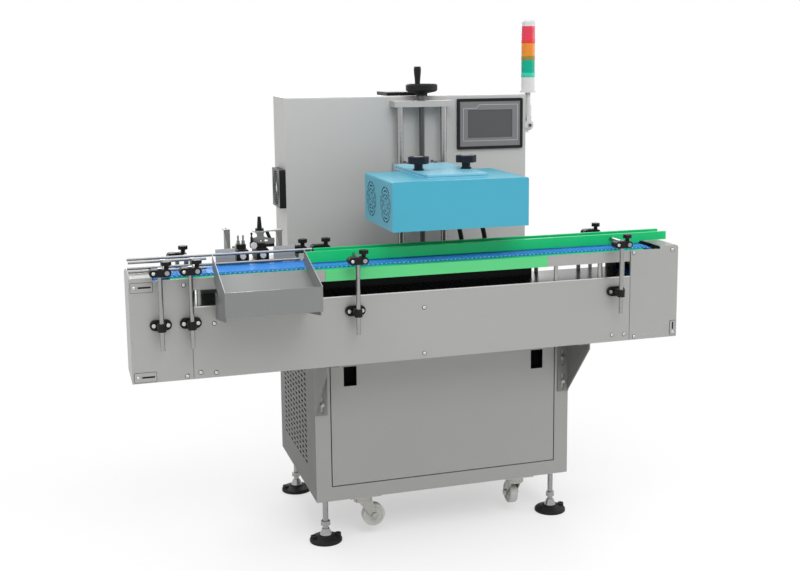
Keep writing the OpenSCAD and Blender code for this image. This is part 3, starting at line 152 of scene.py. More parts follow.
def surface(name, color, roughness, metallic, grain, tint, rough, bump, depth=0.0001, specular=0.5,
            transmission=0.0):
    """A material with a noise stretched by grain, which moves its colour, roughness and relief.

    tint and rough are how far colour and roughness move, bump and depth the relief's strength and height.
    """
    material = bpy.data.materials.new(name)
    material.use_nodes = True
    tree = material.node_tree
    place = add_node(tree, "TexCoord").outputs["Object"]
    stretched = add_node(tree, "Mapping", Vector=place, Scale=grain).outputs["Vector"]
    noise = add_node(tree, "TexNoise", Vector=stretched, Scale=1.0, Detail=NOISE_DETAIL).outputs["Fac"]
    cloud = add_node(tree, "TexNoise", Vector=place, Scale=CLOUD_SCALE).outputs["Fac"]
    blend = add_node(tree, "Mix", Factor=CLOUD_SHARE, A=noise, B=cloud)
    colors = add_node(tree, "Mix")
    colors.data_type = "RGBA"
    fill(tree, colors, Factor=blend.outputs["Result"], A=shade(srgb(*color), 1 - tint),
         B=shade(srgb(*color), 1 + tint))
    spread = add_node(tree, "MapRange", Value=noise, From_Min=NOISE_LOW, From_Max=NOISE_HIGH,
                      To_Min=max(LEAST_ROUGHNESS, roughness - rough), To_Max=roughness + rough)
    relief = add_node(tree, "Bump", Height=noise, Strength=bump, Distance=depth)
    fill(tree, tree.nodes["Principled BSDF"], Base_Color=colors.outputs["Result"], Metallic=metallic,
         Roughness=spread.outputs["Result"], Normal=relief.outputs["Normal"], Specular_IOR_Level=specular,
         Transmission_Weight=transmission)
    return material


# Grains, as the scale of the noise along X, Y and Z
BRUSHED = (5, 5, 1500)
BRUSHED_PALE = (4, 4, 1200)
ROLLED = (1300, 5, 5)
ROLLED_BED = (1200, 6, 6)
DRAWN = (900, 900, 40)
DRAWN_DARK = (900, 900, 60)
EXTRUDED = (900, 900, 8)
EXTRUDED_RAIL = (6, 700, 700)
FINE = (900, 900, 900)
CLOUDY = (140, 140, 140)
NYLON = (500, 500, 500)
FINE_PEEL = (700, 700, 700)
MOULDED = (1800, 1800, 1800)
GLASS = (40, 40, 40)
RIBBED = (30, 30, 300)

# Roughness, metallic, grain, and how far colour, roughness and relief move
SHEET = (0.42, 0.45, BRUSHED, 0.06, 0.07, 0.10)
DULL_SHEET = (0.55, 0.10, BRUSHED, 0.05, 0.07, 0.10)
BAND = (0.24, 0.0, RIBBED, 0.10, 0.05, 0.05, 0.0002)
LENS = (0.20, 0.0, RIBBED, 0.10, 0.05, 0.05, 0.0002)

steel = surface("steel_brushed", (166, 166, 164), *SHEET, specular=0.25)
# A darker copy of the brushed steel for the base's front: painted shade under the beam's overhang
steel_base_shaded = surface("steel_base_shaded", (155, 155, 153), *SHEET, specular=0.25)
# A darker, less glossy copy of the brushed steel for the base's sides: the darker colour is painted shade
steel_side_shaded = surface("steel_side_shaded", (118, 118, 117), *DULL_SHEET, specular=0.10)
# Another darker copy of the brushed steel, for the gussets, the reject unit's upright and the sensor fork:
# painted shade
steel_shaded = surface("steel_shaded", (124, 124, 123), *DULL_SHEET, specular=0.10)
steel_tray = surface("steel_tray", (129, 130, 130), 0.36, 0.30, ROLLED, 0.06, 0.06, 0.08, specular=0.25)
steel_pale = surface("steel_pale", (184, 184, 183), 0.48, 0.22, BRUSHED_PALE, 0.03, 0.05, 0.06, specular=0.25)
steel_bed = surface("steel_bed", (74, 74, 74), 0.24, 1.0, ROLLED_BED, 0.06, 0.05, 0.05)
steel_bright = surface("steel_bright", (158, 158, 158), 0.24, 1.0, DRAWN, 0.06, 0.06, 0.05, 0.00008)
steel_screw = surface("steel_screw", (206, 206, 204), 0.24, 0.9, FINE, 0.08, 0.08, 0.06, 0.00006)
steel_dark = surface("steel_dark", (96, 96, 97), 0.38, 0.95, DRAWN_DARK, 0.10, 0.10, 0.10)
zinc = surface("zinc_plated", (168, 167, 162), 0.30, 0.9, CLOUDY, 0.10, 0.10, 0.05)
alloy = surface("alloy_satin", (176, 176, 175), 0.38, 0.55, EXTRUDED, 0.04, 0.05, 0.06)

black = surface("black_moulded", (17, 17, 18), 0.46, 0.0, MOULDED, 0.15, 0.10, 0.25, specular=0.22)
black_soft = surface("black_rubber", (30, 30, 31), 0.62, 0.0, FINE, 0.20, 0.10, 0.35, 0.0002, specular=0.20)
shadow_black = surface("shadow_black", (7, 7, 7), 0.80, 0.0, MOULDED, 0.10, 0.05, 0.05, specular=0.05)
navy = surface("navy_moulded", (14, 21, 33), 0.40, 0.0, MOULDED, 0.12, 0.08, 0.20, specular=0.22)
white = surface("white_moulded", (200, 200, 199), 0.36, 0.0, MOULDED, 0.03, 0.06, 0.12)
cap_grey = surface("cap_grey", (128, 116, 116), 0.40, 0.0, MOULDED, 0.05, 0.06, 0.10)
grille_grey = surface("grille_grey", (70, 70, 71), 0.45, 0.0, MOULDED, 0.10, 0.06, 0.15)
pusher_white = surface("pusher_nylon", (236, 236, 233), 0.45, 0.0, NYLON, 0.04, 0.08, 0.12)
wheel_grey = surface("wheel_nylon", (182, 182, 178), 0.42, 0.0, NYLON, 0.06, 0.08, 0.15)
# A dark blue for the vents' cut walls and the plate behind them: painted shade inside the head
vent_shade_blue = surface("vent_shade_blue", (12, 34, 44), 0.70, 0.0, MOULDED, 0.10, 0.05, 0.20, 0.0002, specular=0.1)

rail_green = surface("rail_green", (6, 190, 112), 0.36, 0.0, EXTRUDED_RAIL, 0.05, 0.08, 0.10, specular=0.35)
deck_green = surface("deck_green", (84, 196, 122), 0.38, 0.0, EXTRUDED_RAIL, 0.05, 0.08, 0.10)
belt_blue = surface("belt_blue", (46, 133, 214), 0.36, 0.0, FINE, 0.08, 0.08, 0.15, specular=0.35)
belt_pale = surface("belt_pale", (150, 190, 232), 0.40, 0.0, FINE, 0.06, 0.08, 0.10, specular=0.3)

head_blue = surface("head_blue", (64, 158, 182), 0.36, 0.0, FINE_PEEL, 0.03, 0.05, 0.10, specular=0.45)
seam_blue = surface("seam_blue", (44, 116, 140), 0.60, 0.0, FINE_PEEL, 0.05, 0.05, 0.10, specular=0.2)
# A lighter blue than the head for the whole arm plate: painted sheen of its top face
arm_blue_sheen = surface("arm_blue_sheen", (124, 190, 212), 0.28, 0.0, FINE_PEEL, 0.03, 0.04, 0.05, specular=0.6)
paint_grey = surface("paint_grey", (204, 204, 198), 0.40, 0.0, FINE_PEEL, 0.04, 0.06, 0.12)
paint_motor = surface("paint_motor", (92, 100, 108), 0.40, 0.0, FINE_PEEL, 0.06, 0.06, 0.15)

panel_rim = surface("panel_rim", (21, 21, 23), 0.44, 0.0, MOULDED, 0.08, 0.06, 0.15, specular=0.22)
panel_plate = surface("panel_plate", (116, 116, 118), 0.42, 0.0, MOULDED, 0.04, 0.06, 0.12, specular=0.3)
panel_line = surface("panel_line", (172, 173, 174), 0.40, 0.0, MOULDED, 0.04, 0.06, 0.10)
screen = surface("screen", (78, 78, 79), 0.20, 0.0, GLASS, 0.02, 0.03, 0.01, 0.00005, specular=0.35)

band_red = surface("band_red", (214, 40, 46), *BAND)
band_olive = surface("band_olive", (136, 122, 40), 0.24, 0.0, RIBBED, 0.16, 0.05, 0.05, 0.0002)
band_green = surface("band_green", (44, 186, 156), *BAND)
lens_green = surface("lens_green", (4, 166, 136), *LENS, specular=0.2, transmission=0.05)
lens_amber = surface("lens_amber", (232, 140, 30), *LENS, transmission=0.15)
lens_red = surface("lens_red", (226, 52, 80), *LENS, transmission=0.15)


# Painting of the frame's own nodes

def islands(mesh):
    """Groups of faces that share points, each with its lowest and highest corner."""
    places = {}
    welded = []
    for vertex in mesh.vertices:
        key = tuple(round(c, 5) for c in vertex.co)
        welded.append(places.setdefault(key, len(places)))
    parent = list(range(len(places)))

    def root(index):
        while parent[index] != index:
            parent[index] = parent[parent[index]]
            index = parent[index]
        return index

    for face in mesh.polygons:
        first = root(welded[face.vertices[0]])
        for vertex in face.vertices[1:]:
            parent[root(welded[vertex])] = first
    groups = {}
    for face in mesh.polygons:
        groups.setdefault(root(welded[face.vertices[0]]), []).append(face.index)
    for faces in groups.values():
        points = [mesh.vertices[v].co for f in faces for v in mesh.polygons[f].vertices]
        low = Vector([min(p[i] for p in points) for i in range(3)])
        high = Vector([max(p[i] for p in points) for i in range(3)])
        yield faces, low, high


def paint(node, material, *rules):
    """Gives a node its material, and other materials to the solids in it that a rule picks by their box."""
    mesh = nodes[node].data
    mesh.materials.clear()
    mesh.materials.append(material)
    for other, _ in rules:
        mesh.materials.append(other)
    picked = [0] * len(mesh.polygons)
    if rules:
        for faces, low, high in islands(mesh):
            for index, (_, wanted) in enumerate(rules, 1):
                if wanted(low, high):
                    for face in faces:
                        picked[face] = index
    mesh.polygons.foreach_set("material_index", picked)


def paint_all(material, *names):
    """Gives several nodes one material."""
    for name in names:
        paint(name, material)


def paint_faces(node, material, wanted):
    """Gives a material to the faces of a node that a rule picks."""
    mesh = nodes[node].data
    mesh.materials.append(material)
    index = len(mesh.materials) - 1
    for face in mesh.polygons:
        if wanted(face):
            face.material_index = index


def size_over(axis, limit):
    return lambda low, high: high[axis] - low[axis] > limit


def size_under(axis, limit):
    return lambda low, high: high[axis] - low[axis] < limit


# Sizes that tell the solids of one node apart
PULL_W = 0.1
CHAIN_T = 0.01
PAD_D = 0.06
DECK_EDGE_T = 0.01
POST_H = 0.1
RAIL_L = 0.5
SMALL_W = 0.05
PLATE_W = 0.22
SCREEN_W = 0.16

paint_all(steel, "conveyor_channel", "end_cover_left", "end_cover_right", "deck_rails")
# The base's shell and front frame take the darker steel: painted shade under the beam
paint_all(steel_base_shaded, "base_shell", "base_front_frame")
paint_all(steel_bright, "drive_shaft", "idler_shaft", "infeed_rods_front", "infeed_rods_rear")
paint_all(black, "coil_zone_frame", "post_clamps", "top_cover_plate", "fan_housing", "fan_rotor", "handwheel",
          "crank_grip")
paint_all(white, "tower_bracket", "tower_body")
paint_all(pusher_white, "pusher_left", "pusher_right")
paint_all(navy, "star_knob_left", "star_knob_right")
paint_all(zinc, "caster_plates", *("caster_fork_" + corner for corner in CORNERS))
paint_all(wheel_grey, *("caster_wheel_" + corner for corner in CORNERS))
# The side panels take the darker steel: painted shade on the sides
paint("base_side_panels", steel_side_shaded)
# The gussets take the darker steel: painted shade under the beam
paint("base_gussets", steel_shaded)
paint("control_cabinet", steel_pale)
paint("power_unit", paint_grey)
paint("conveyor_belt", belt_blue)
paint("lead_screw", steel_dark)
paint("lift_carriage", alloy)
# The arm plate is painted lighter than the head as sheen on its top
paint("head_arm_plate", arm_blue_sheen)
paint("head_cover", head_blue)
paint("head_cables", black_soft)
paint("lens_green", lens_green)
paint("lens_amber", lens_amber)
paint("lens_red", lens_red)
# The front panel takes the darker steel as painted shade under the beam, with its pulls in shadow black
paint("front_panel", steel_base_shaded, (shadow_black, size_under(0, PULL_W)))
paint("reject_tray", steel_tray)
paint("gear_motor", paint_motor, (steel_dark, size_under(1, CHAIN_T)))
paint("levelling_feet", steel_bright, (black_soft, size_over(0, PAD_D)))
paint("deck_plastics", rail_green, (deck_green, size_under(1, DECK_EDGE_T)))
for posts in ("front_rail_posts", "rear_rail_posts", "front_rod_posts", "rear_rod_posts"):
    paint(posts, black, (steel_bright, size_over(2, POST_H)))
for rail in ("front_guide_rail", "rear_guide_rail"):
    paint(rail, steel_bright, (rail_green, size_over(0, RAIL_L)))
paint("lift_column", alloy, (steel_bright, size_over(2, POST_H)))
paint("touch_panel", panel_rim, (panel_plate, size_under(0, PLATE_W)), (screen, size_under(0, SCREEN_W)))
paint("coil_tray", white, (black, size_under(0, SMALL_W)))

# Reject unit: bright fittings with black tips, an upright plate darkened as painted shade and a fence
# lightened as painted light
FITTING_Z = 0.917
FITTING_TIP_Z = 0.935
FITTING_TOP = 0.9406
SENSOR_X = -0.424
SENSOR_Y = -0.054
SENSOR_HALF_X = 0.013
SENSOR_HALF_Y = 0.0125
UPRIGHT_Y = -0.0665
UPRIGHT_HALF = 0.003
UPRIGHT_Z = 0.912
FENCE_Y = -0.104


def on_fitting(face, bottom):
    """Whether a face lies on a fitting, above a height and away from the sensor."""
    return bottom < face.center.z < FITTING_TOP and abs(face.center.y - SENSOR_Y) > SENSOR_HALF_Y


def on_upright(face):
    """Whether a face lies on the upright plate, away from the sensor."""
    x, y, z = face.center
    near = abs(y - UPRIGHT_Y) < UPRIGHT_HALF and z > UPRIGHT_Z
    return near and abs(face.normal.z) < 0.5 and abs(x - SENSOR_X) > SENSOR_HALF_X


paint("reject_unit", steel, (black, size_under(0, SMALL_W)))
paint_faces("reject_unit", steel_bright, lambda face: on_fitting(face, FITTING_Z))
paint_faces("reject_unit", black, lambda face: on_fitting(face, FITTING_TIP_Z))
# The upright plate takes the darker steel: painted shade
paint_faces("reject_unit", steel_shaded, on_upright)
# The fence takes the paler steel: painted light where it lies in shade
paint_faces("reject_unit", steel_pale, lambda face: face.center.y < FENCE_Y and face.normal.y < -0.9)

# Tray, base, conveyor bed, fan grille and head vents
TRAY_SHEET = 0.003
BASE_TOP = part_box("base_front_frame")[1].z
TOP_MARGIN = 0.0005
SKIRT_H = 0.196
BED_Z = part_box("end_cover_left")[0].z + SKIRT_H
BED_MARGIN = 0.0006
SHEET_T = 0.0021
GRILLE_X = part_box("fan_housing")[0].x + SHEET_T
HEAD_LOW, HEAD_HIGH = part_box("head_cover")
VENT_MARGIN = 0.012


def on_tray_rim(face):
    """Whether a face is an upper cut edge of the tray's sheet."""
    vertices = nodes["reject_tray"].data.vertices
    points = [vertices[v].co for v in face.vertices]
    shortest = min((a - b).length for a, b in zip(points, points[1:] + points[:1]))
    return face.normal.z > 0.5 and shortest < TRAY_SHEET


def on_vent_wall(face):
    """Whether a face is a cut edge of the vents in the head's left side."""
    x, y, z = face.center
    inside_y = HEAD_LOW.y + VENT_MARGIN < y < HEAD_HIGH.y - VENT_MARGIN
    inside_z = HEAD_LOW.z + VENT_MARGIN < z < HEAD_HIGH.z - VENT_MARGIN
    return x < HEAD_LOW.x + SHEET_T and abs(face.normal.x) < 0.2 and inside_y and inside_z


# The upper cut edges of the tray get a brighter steel: painted highlight
paint_faces("reject_tray", steel_screw, on_tray_rim)
# The shell's faces above the front frame are painted black: painted shade on the top of the base
paint_faces("base_shell", black, lambda face: face.center.z > BASE_TOP + TOP_MARGIN)
# The shell's side faces take the darker steel: painted shade on the sides
paint_faces("base_shell", steel_side_shaded, lambda face: abs(face.normal.x) > 0.9)
paint_faces("conveyor_channel", steel_bed,
            lambda face: face.normal.z > 0.9 and abs(face.center.z - BED_Z) < BED_MARGIN)
paint_faces("fan_housing", grille_grey, lambda face: face.center.x < GRILLE_X)
# The cut walls of the vents are painted dark blue: painted shade inside the slots
paint_faces("head_cover", vent_shade_blue, on_vent_wall)


# Pieces
SHARP_ANGLE = math.radians(35)
WASHER_T = 0.0013


def join_rings(shape, rings):
    """Faces between each ring of points and the next. A ring may be a single point."""
    for lower, upper in zip(rings, rings[1:]):
        count = max(len(lower), len(upper))
        for k in range(count):
            n = (k + 1) % count
            if len(lower) == 1:
                shape.faces.new((lower[0], upper[n], upper[k]))
            elif len(upper) == 1:
                shape.faces.new((lower[k], lower[n], upper[0]))
            else:
                shape.faces.new((lower[k], lower[n], upper[n], upper[k]))


def lathe(profile, segments=24):
    """A shape turned about Z from a profile of radius and height, from its bottom to its top."""
    shape = bmesh.new()
    rings = []
    for radius, height in profile:
        if radius < 1e-6:
            rings.append([shape.verts.new((0, 0, height))])
            continue
        turns = [2 * math.pi * k / segments for k in range(segments)]
        rings.append([shape.verts.new((radius * math.cos(a), radius * math.sin(a), height)) for a in turns])
    join_rings(shape, rings)
    return shape


def sweep(path, radius, sides=16):
    """A closed round tube along a path."""
    shape = bmesh.new()
    rings = []
    last = len(path) - 1
    turns = [2 * math.pi * k / sides for k in range(sides)]
    for i, point in enumerate(path):
        ahead = (path[min(i + 1, last)] - path[max(i - 1, 0)]).normalized()
        side = ahead.cross(RIGHT).normalized()
        other = side.cross(ahead)
        ring = [point + radius * (math.cos(a) * side + math.sin(a) * other) for a in turns]
        rings.append([shape.verts.new(place) for place in ring])
    join_rings(shape, rings)
    shape.faces.new(rings[0])
    shape.faces.new(list(reversed(rings[-1])))
    return shape


def turned(rings, segments=24):
    """A closed shape from rings, outside first: radius or half the flats, height, and whether a hexagon."""
    shape = bmesh.new()
    loops = []
    for radius, height, six in rings:
        loop = []
        for k in range(segments):
            a = 2 * math.pi * k / segments
            r = radius / math.cos(a % (math.pi / 3) - math.pi / 6) if six else radius
            loop.append(shape.verts.new((r * math.cos(a), r * math.sin(a), height)))
        loops.append(loop)
    join_rings(shape, loops)
    shape.faces.new(list(reversed(loops[0])))
    shape.faces.new(loops[-1])
    return shape


def button_head(d, h):
    """A domed screw head with a hexagon socket, standing on z = 0."""
    r = d / 2
    return turned(((r, 0, False), (r, 0.25 * h, False), (0.9 * r, 0.62 * h, False),
                   (0.68 * r, 0.92 * h, False), (0.5 * r, h, False), (0.42 * r, h, True),
                   (0.40 * r, 0.45 * h, True)))


def cap_head(d, h):
    """A cylinder screw head with a hexagon socket, standing on z = 0."""
    r = d / 2
    return turned(((r, 0, False), (r, 0.86 * h, False), (0.92 * r, h, False), (0.56 * r, h, False),
                   (0.46 * r, h, True), (0.44 * r, 0.4 * h, True)))


def washer(r, h):
    """A ring shaped like a plain washer, with a soft rim, on z = 0."""
    return lathe(((0, 0), (r, 0), (r, 0.6 * h), (0.94 * r, h), (0, h)))


def hex_head(flat, h, ring=0.0):
    """A hexagon head with a chamfered top, on a washer where its diameter is given."""
    r = flat / 2
    rings = []
    if ring:
        rings += [(ring / 2, 0, False), (ring / 2, WASHER_T, False)]
    base = WASHER_T if ring else 0
    rings += [(r, base, True), (r, base + 0.8 * h, True)]
    rings += [(0.98 * r, base + 0.9 * h, False), (0.86 * r, base + h, False)]
    return turned(rings)


def facing(place, axis):
    """The matrix that stands a shape at a place, with its +Z along an axis."""
    return Matrix.Translation(place) @ Vector(axis).to_track_quat("Z", "Y").to_matrix().to_4x4()


def upright(x=0.0, y=0.0, z=0.0):
    """The matrix that stands a shape drawn in X and Y upright at a place, with its +Z to the front."""
    return Matrix(((1, 0, 0, x), (0, 0, -1, y), (0, 1, 0, z), (0, 0, 0, 1)))


def moved(shape, matrix):
    """The shape itself, after a move."""
    bmesh.ops.transform(shape, matrix=matrix, verts=shape.verts)
    return shape


def add_shape(whole, shape):
    """Adds one shape to another, and frees it."""
    mesh = bpy.data.meshes.new("part")
    shape.to_mesh(mesh)
    shape.free()
    whole.from_mesh(mesh)
    bpy.data.meshes.remove(mesh)


def copies(template, places):
    """One shape made of copies of a template, one at each matrix."""
    shape = bmesh.new()
    for place in places:
        add_shape(shape, moved(template.copy(), place))
    template.free()
    return shape


def round_outline(x0, x1, y0, y1, r, steps=5):
    """Corner points of a rectangle with round corners."""
    points = []
    middles = ((x1 - r, y1 - r, 0), (x0 + r, y1 - r, 90), (x0 + r, y0 + r, 180), (x1 - r, y0 + r, 270))
    for cx, cy, first in middles:
        for k in range(steps + 1):
            a = math.radians(first + 90 * k / steps)
            points.append((cx + r * math.cos(a), cy + r * math.sin(a)))
    return points


def arc(cx, cy, rx, ry, first, last, steps):
    """Points of an elliptic arc, between two angles in degrees."""
    turns = [math.radians(first + (last - first) * k / steps) for k in range(steps + 1)]
    return [(cx + rx * math.cos(a), cy + ry * math.sin(a)) for a in turns]


def plate(outlines, depth, bevel=0.0):
    """A plate on z = 0 from an outline and the holes in it, drawn in X and Y."""
    curve = bpy.data.curves.new("outline", "CURVE")
    curve.dimensions = "2D"
    curve.fill_mode = "BOTH"
    curve.extrude = depth / 2 - bevel
    curve.bevel_depth = bevel
    curve.bevel_resolution = 2
    curve.offset = -bevel
    for outline in outlines:
        spline = curve.splines.new("POLY")
        spline.points.add(len(outline) - 1)
        for point, (x, y) in zip(spline.points, outline):
            point.co = (x, y, 0, 1)
        spline.use_cyclic_u = True
    holder = bpy.data.objects.new("outline", curve)
    mesh = bpy.data.meshes.new_from_object(holder)
    shape = bmesh.new()
    shape.from_mesh(mesh)
    bpy.data.objects.remove(holder)
    bpy.data.curves.remove(curve)
    bpy.data.meshes.remove(mesh)
    bmesh.ops.remove_doubles(shape, verts=shape.verts, dist=1e-6)
    bmesh.ops.translate(shape, vec=(0, 0, depth / 2), verts=shape.verts)
    return shape


def piece(name, shape, material, body="base"):
    """A shape as an object that rides on a body."""
    mesh = bpy.data.meshes.new(name)
    bmesh.ops.recalc_face_normals(shape, faces=shape.faces)
    shape.to_mesh(mesh)
    shape.free()
    mesh.materials.append(material)
    mesh.shade_smooth()
    mesh.set_sharp_from_angle(angle=SHARP_ANGLE)
    item = add_object(name, mesh)
    if body:
        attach(item, body)
    return item


def fasteners(name, template, places, material, body="base"):
    """Copies of a screw, a bolt or a nut as one piece."""
    piece(name, copies(template, places), material, body)


# Coil cables: the route of the frame's own tubes, from the head down to the base cabinet.
# Each point is the shift in X and Y, and the share of the drop.
CABLE_D = 0.014
CABLE_XS = (0.173, 0.247)
CABLE_ROUTE = ((0, 0, 0), (0, 0, 0.02), (0, 0, 0.04), (0.008, 0.001, 0.14), (0.018, 0.008, 0.30),
               (0.026, 0.040, 0.48), (0.031, 0.092, 0.66), (0.032, 0.122, 0.82), (0.032, 0.130, 0.92),
               (0.032, 0.130, 0.96), (0.032, 0.130, 1))
CABLE_STEPS = 6


def smooth_path(points, steps):
    """A smooth curve through the points, with the given number of steps between two of them."""
    path = []
    last = len(points) - 1
    for i in range(last):
        a, b = points[max(i - 1, 0)], points[i]
        c, d = points[i + 1], points[min(i + 2, last)]
        for k in range(steps):
            t = k / steps
            path.append(0.5 * (2 * b + (c - a) * t + (2 * a - 5 * b + 4 * c - d) * t ** 2
                               + (3 * b - a - 3 * c + d) * t ** 3))
    path.append(points[last])
    return path


def coil_cables():
    """The two cables of the coil, which stretch from the base to the head."""
    low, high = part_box("head_cables")
    start_y = low.y + CABLE_D / 2
    drop = high.z - low.z
    for side, x in zip(("left", "right"), CABLE_XS):
        start = Vector((x, start_y, high.z))
        points = [start + Vector((p[0], p[1], -p[2] * drop)) for p in CABLE_ROUTE]
        path = smooth_path(points, CABLE_STEPS)
        cable = piece("coil_cable_" + side, sweep(path, CABLE_D / 2), black_soft, None)
        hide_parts("head_cables")
        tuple(path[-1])
        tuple(path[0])
        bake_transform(cable)
        length = sum((b - a).length for a, b in zip(path, path[1:]))
        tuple(path[0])


# Fasteners: diameter and height of a screw's head, radius and height of the dark ring under a screw as
# painted shade, width and height of the hexagon of a bolt or nut, and the diameter of a bolt's washer
BEAM_SCREW = (0.0105, 0.0030)
BEAM_SHADE_RING = (0.0065, 0.0008)
TAB_SCREW = (0.0095, 0.0028)
POST_SCREW = (0.0095, 0.0026)
CLAMP_SCREW = (0.0105, 0.004)
CARRIAGE_SCREW = (0.010, 0.006)
HINGE_SCREW = (0.011, 0.004)
GUSSET_BOLT = (0.011, 0.0055, 0.015)
CASTER_NUT = (0.017, 0.0066)

# Screws in the skirts and the end covers, in X and Z
BEAM_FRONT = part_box("conveyor_channel")[0].y
BEAM_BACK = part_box("conveyor_channel")[1].y
SKIRT_SCREWS = ((0, 0.737), (-0.5835, 0.737), (0, 0.6055), (-0.623, 0.607), (-0.582, 0.603),
                (0.585, 0.6105), (0.6246, 0.610))
COVER_SCREWS = ((-0.659, 0.845), (-0.658, 0.600), (0.652, 0.854), (0.780, 0.857), (0.658, 0.600))


def beam_screws():
    """The screws of the skirts and the end covers, front and back, each on a dark ring that is painted shade
    round its head.
    """
    places = []
    for x, z in SKIRT_SCREWS + COVER_SCREWS:
        places.append(facing((x, BEAM_FRONT, z), FRONT))
        places.append(facing((x, BEAM_BACK, z), BACK))
    fasteners("beam_screws", button_head(*BEAM_SCREW), places, steel_screw)
    # A dark ring under each screw head: painted shade
    fasteners("beam_screw_shade_rings", washer(*BEAM_SHADE_RING), places, steel_dark)


# X and Z of the screw, direction, length before and after the screw, and half the width of each tab
TABS = ((-0.785, 0.845, RIGHT, 0.010, 0.046, 0.0125), (-0.784, 0.606, RIGHT, 0.010, 0.046, 0.0125),
        (0.787, 0.604, UP, 0.009, 0.035, 0.0092))
TAB_T = 0.0012
TAB_CORNER = 0.002
TAB_BEVEL = 0.0003
TAB_SHADE_T = 0.0003
TAB_RIM = 0.0009
TAB_RIM_CORNER = 0.0026
SLOT_START = 0.009
SLOT_END = 0.004
SLOT_HALF = 0.0024
SLOT_CORNER = 0.0015


def tension_tabs():
    """The slotted tabs of the belt tensioners on the end covers, each with its screw and a dark plate under
    it: painted shade round its edge and in its slot.
    """
    tabs = bmesh.new()
    tab_shade_plate = bmesh.new()
    screws = []
    for x, z, length, before, after, half in TABS:
        outer = round_outline(-before, after, -half, half, TAB_CORNER)
        slot = round_outline(SLOT_START, after - SLOT_END, -SLOT_HALF, SLOT_HALF, SLOT_CORNER)
        wide = half + TAB_RIM
        rim = round_outline(-before - TAB_RIM, after + TAB_RIM, -wide, wide, TAB_RIM_CORNER)
        for y, axis in ((BEAM_FRONT, FRONT), (BEAM_BACK, BACK)):
            place = Vector((x, y, z))
            matrix = Matrix((length, axis.cross(length), axis)).transposed().to_4x4()
            matrix.translation = place
            add_shape(tab_shade_plate, moved(plate((rim,), TAB_SHADE_T), matrix))
            matrix.translation = place + axis * TAB_SHADE_T
            add_shape(tabs, moved(plate((outer, slot), TAB_T, TAB_BEVEL), matrix))
            screws.append(facing(place + axis * (TAB_SHADE_T + TAB_T), axis))
    piece("tension_tabs", tabs, steel)
    # The dark plate under each tab is painted shade
    piece("tension_tab_shade", tab_shade_plate, black_soft)
    fasteners("tension_tab_screws", button_head(*TAB_SCREW), screws, steel_screw)


SEAM_W = 0.0014
SEAM_T = 0.00025
SEAM_END = 0.001
SEAM_CORNER = 0.0004


def cover_seams():
    """The dark joint between each end cover and the skirts."""
    low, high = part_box("end_cover_left")
    strip = round_outline(-SEAM_W / 2, SEAM_W / 2, low.z + SEAM_END, high.z - SEAM_END, SEAM_CORNER, 2)
    seams = bmesh.new()
    for x in (high.x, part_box("end_cover_right")[0].x):
        for y in (BEAM_FRONT, BEAM_BACK + SEAM_T):
            add_shape(seams, moved(plate((strip,), SEAM_T), upright(x, y)))
    piece("cover_seams", seams, steel_dark)


COVER_INSET = 0.016
COVER_SCREW_INSET = 0.012
COVER_CORNER = 0.004
COVER_INNER_CORNER = 0.003


def rear_covers():
    """The screwed rear covers of both cabinets: the joint round each one, and its screws."""
    seams = bmesh.new()
    screws = []
    for node, least in (("control_cabinet", BASE_TOP), ("base_shell", 0)):
        low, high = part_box(node)
        x0, x1 = low.x + COVER_INSET, high.x - COVER_INSET
        z0, z1 = max(low.z, least) + COVER_INSET, high.z - COVER_INSET
        outer = round_outline(x0, x1, z0, z1, COVER_CORNER)
        inner = round_outline(x0 + SEAM_W, x1 - SEAM_W, z0 + SEAM_W, z1 - SEAM_W, COVER_INNER_CORNER)
        add_shape(seams, moved(plate((outer, inner), SEAM_T), upright(y=high.y + SEAM_T)))
        xs = (x0 + COVER_SCREW_INSET, (x0 + x1) / 2, x1 - COVER_SCREW_INSET)
        zs = (z0 + COVER_SCREW_INSET, (z0 + z1) / 2, z1 - COVER_SCREW_INSET)
        around = [(x, z) for x in xs for z in zs if (x, z) != (xs[1], zs[1])]
        screws += [facing((x, high.y, z), BACK) for x, z in around]
    piece("rear_cover_seams", seams, steel_dark)
    fasteners("rear_cover_screws", button_head(*BEAM_SCREW), screws, steel_screw)


HEM_H = 0.0034
HEM_T = 0.0006
HEM_GAP = 0.002
HEM_CORNER = 0.001
HEM_BEVEL = 0.0002


def skirt_hems():
    """The folded edge on top of each skirt, on both sides of the tray, in a brighter steel as a painted
    highlight.
    """
    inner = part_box("end_cover_left")[1].x + HEM_GAP
    tray_low, tray_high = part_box("reject_tray")
    hems = bmesh.new()
    for x0, x1, y in ((inner, tray_low.x - HEM_GAP, BEAM_FRONT), (tray_high.x + HEM_GAP, -inner, BEAM_FRONT),
                      (inner, -inner, BEAM_BACK + HEM_T)):
        strip = round_outline(x0, x1, BED_Z - HEM_H, BED_Z, HEM_CORNER, 3)
        add_shape(hems, moved(plate((strip,), HEM_T, HEM_BEVEL), upright(y=y)))
    # The hems' bright steel is a painted highlight along the skirts' top edge
    piece("skirt_hems", hems, steel_screw)


CLAMP_H = 0.028
CLAMP_LOBE = 0.0185
CLAMP_FACE = 0.010
CROSS_ROD = 0.017
KNOB_H = 0.028


def post_places(node):
    """The middles of the posts in a node."""
    for _, low, high in islands(nodes[node].data):
        if high.z - low.z > POST_H:
            yield (low + high) / 2


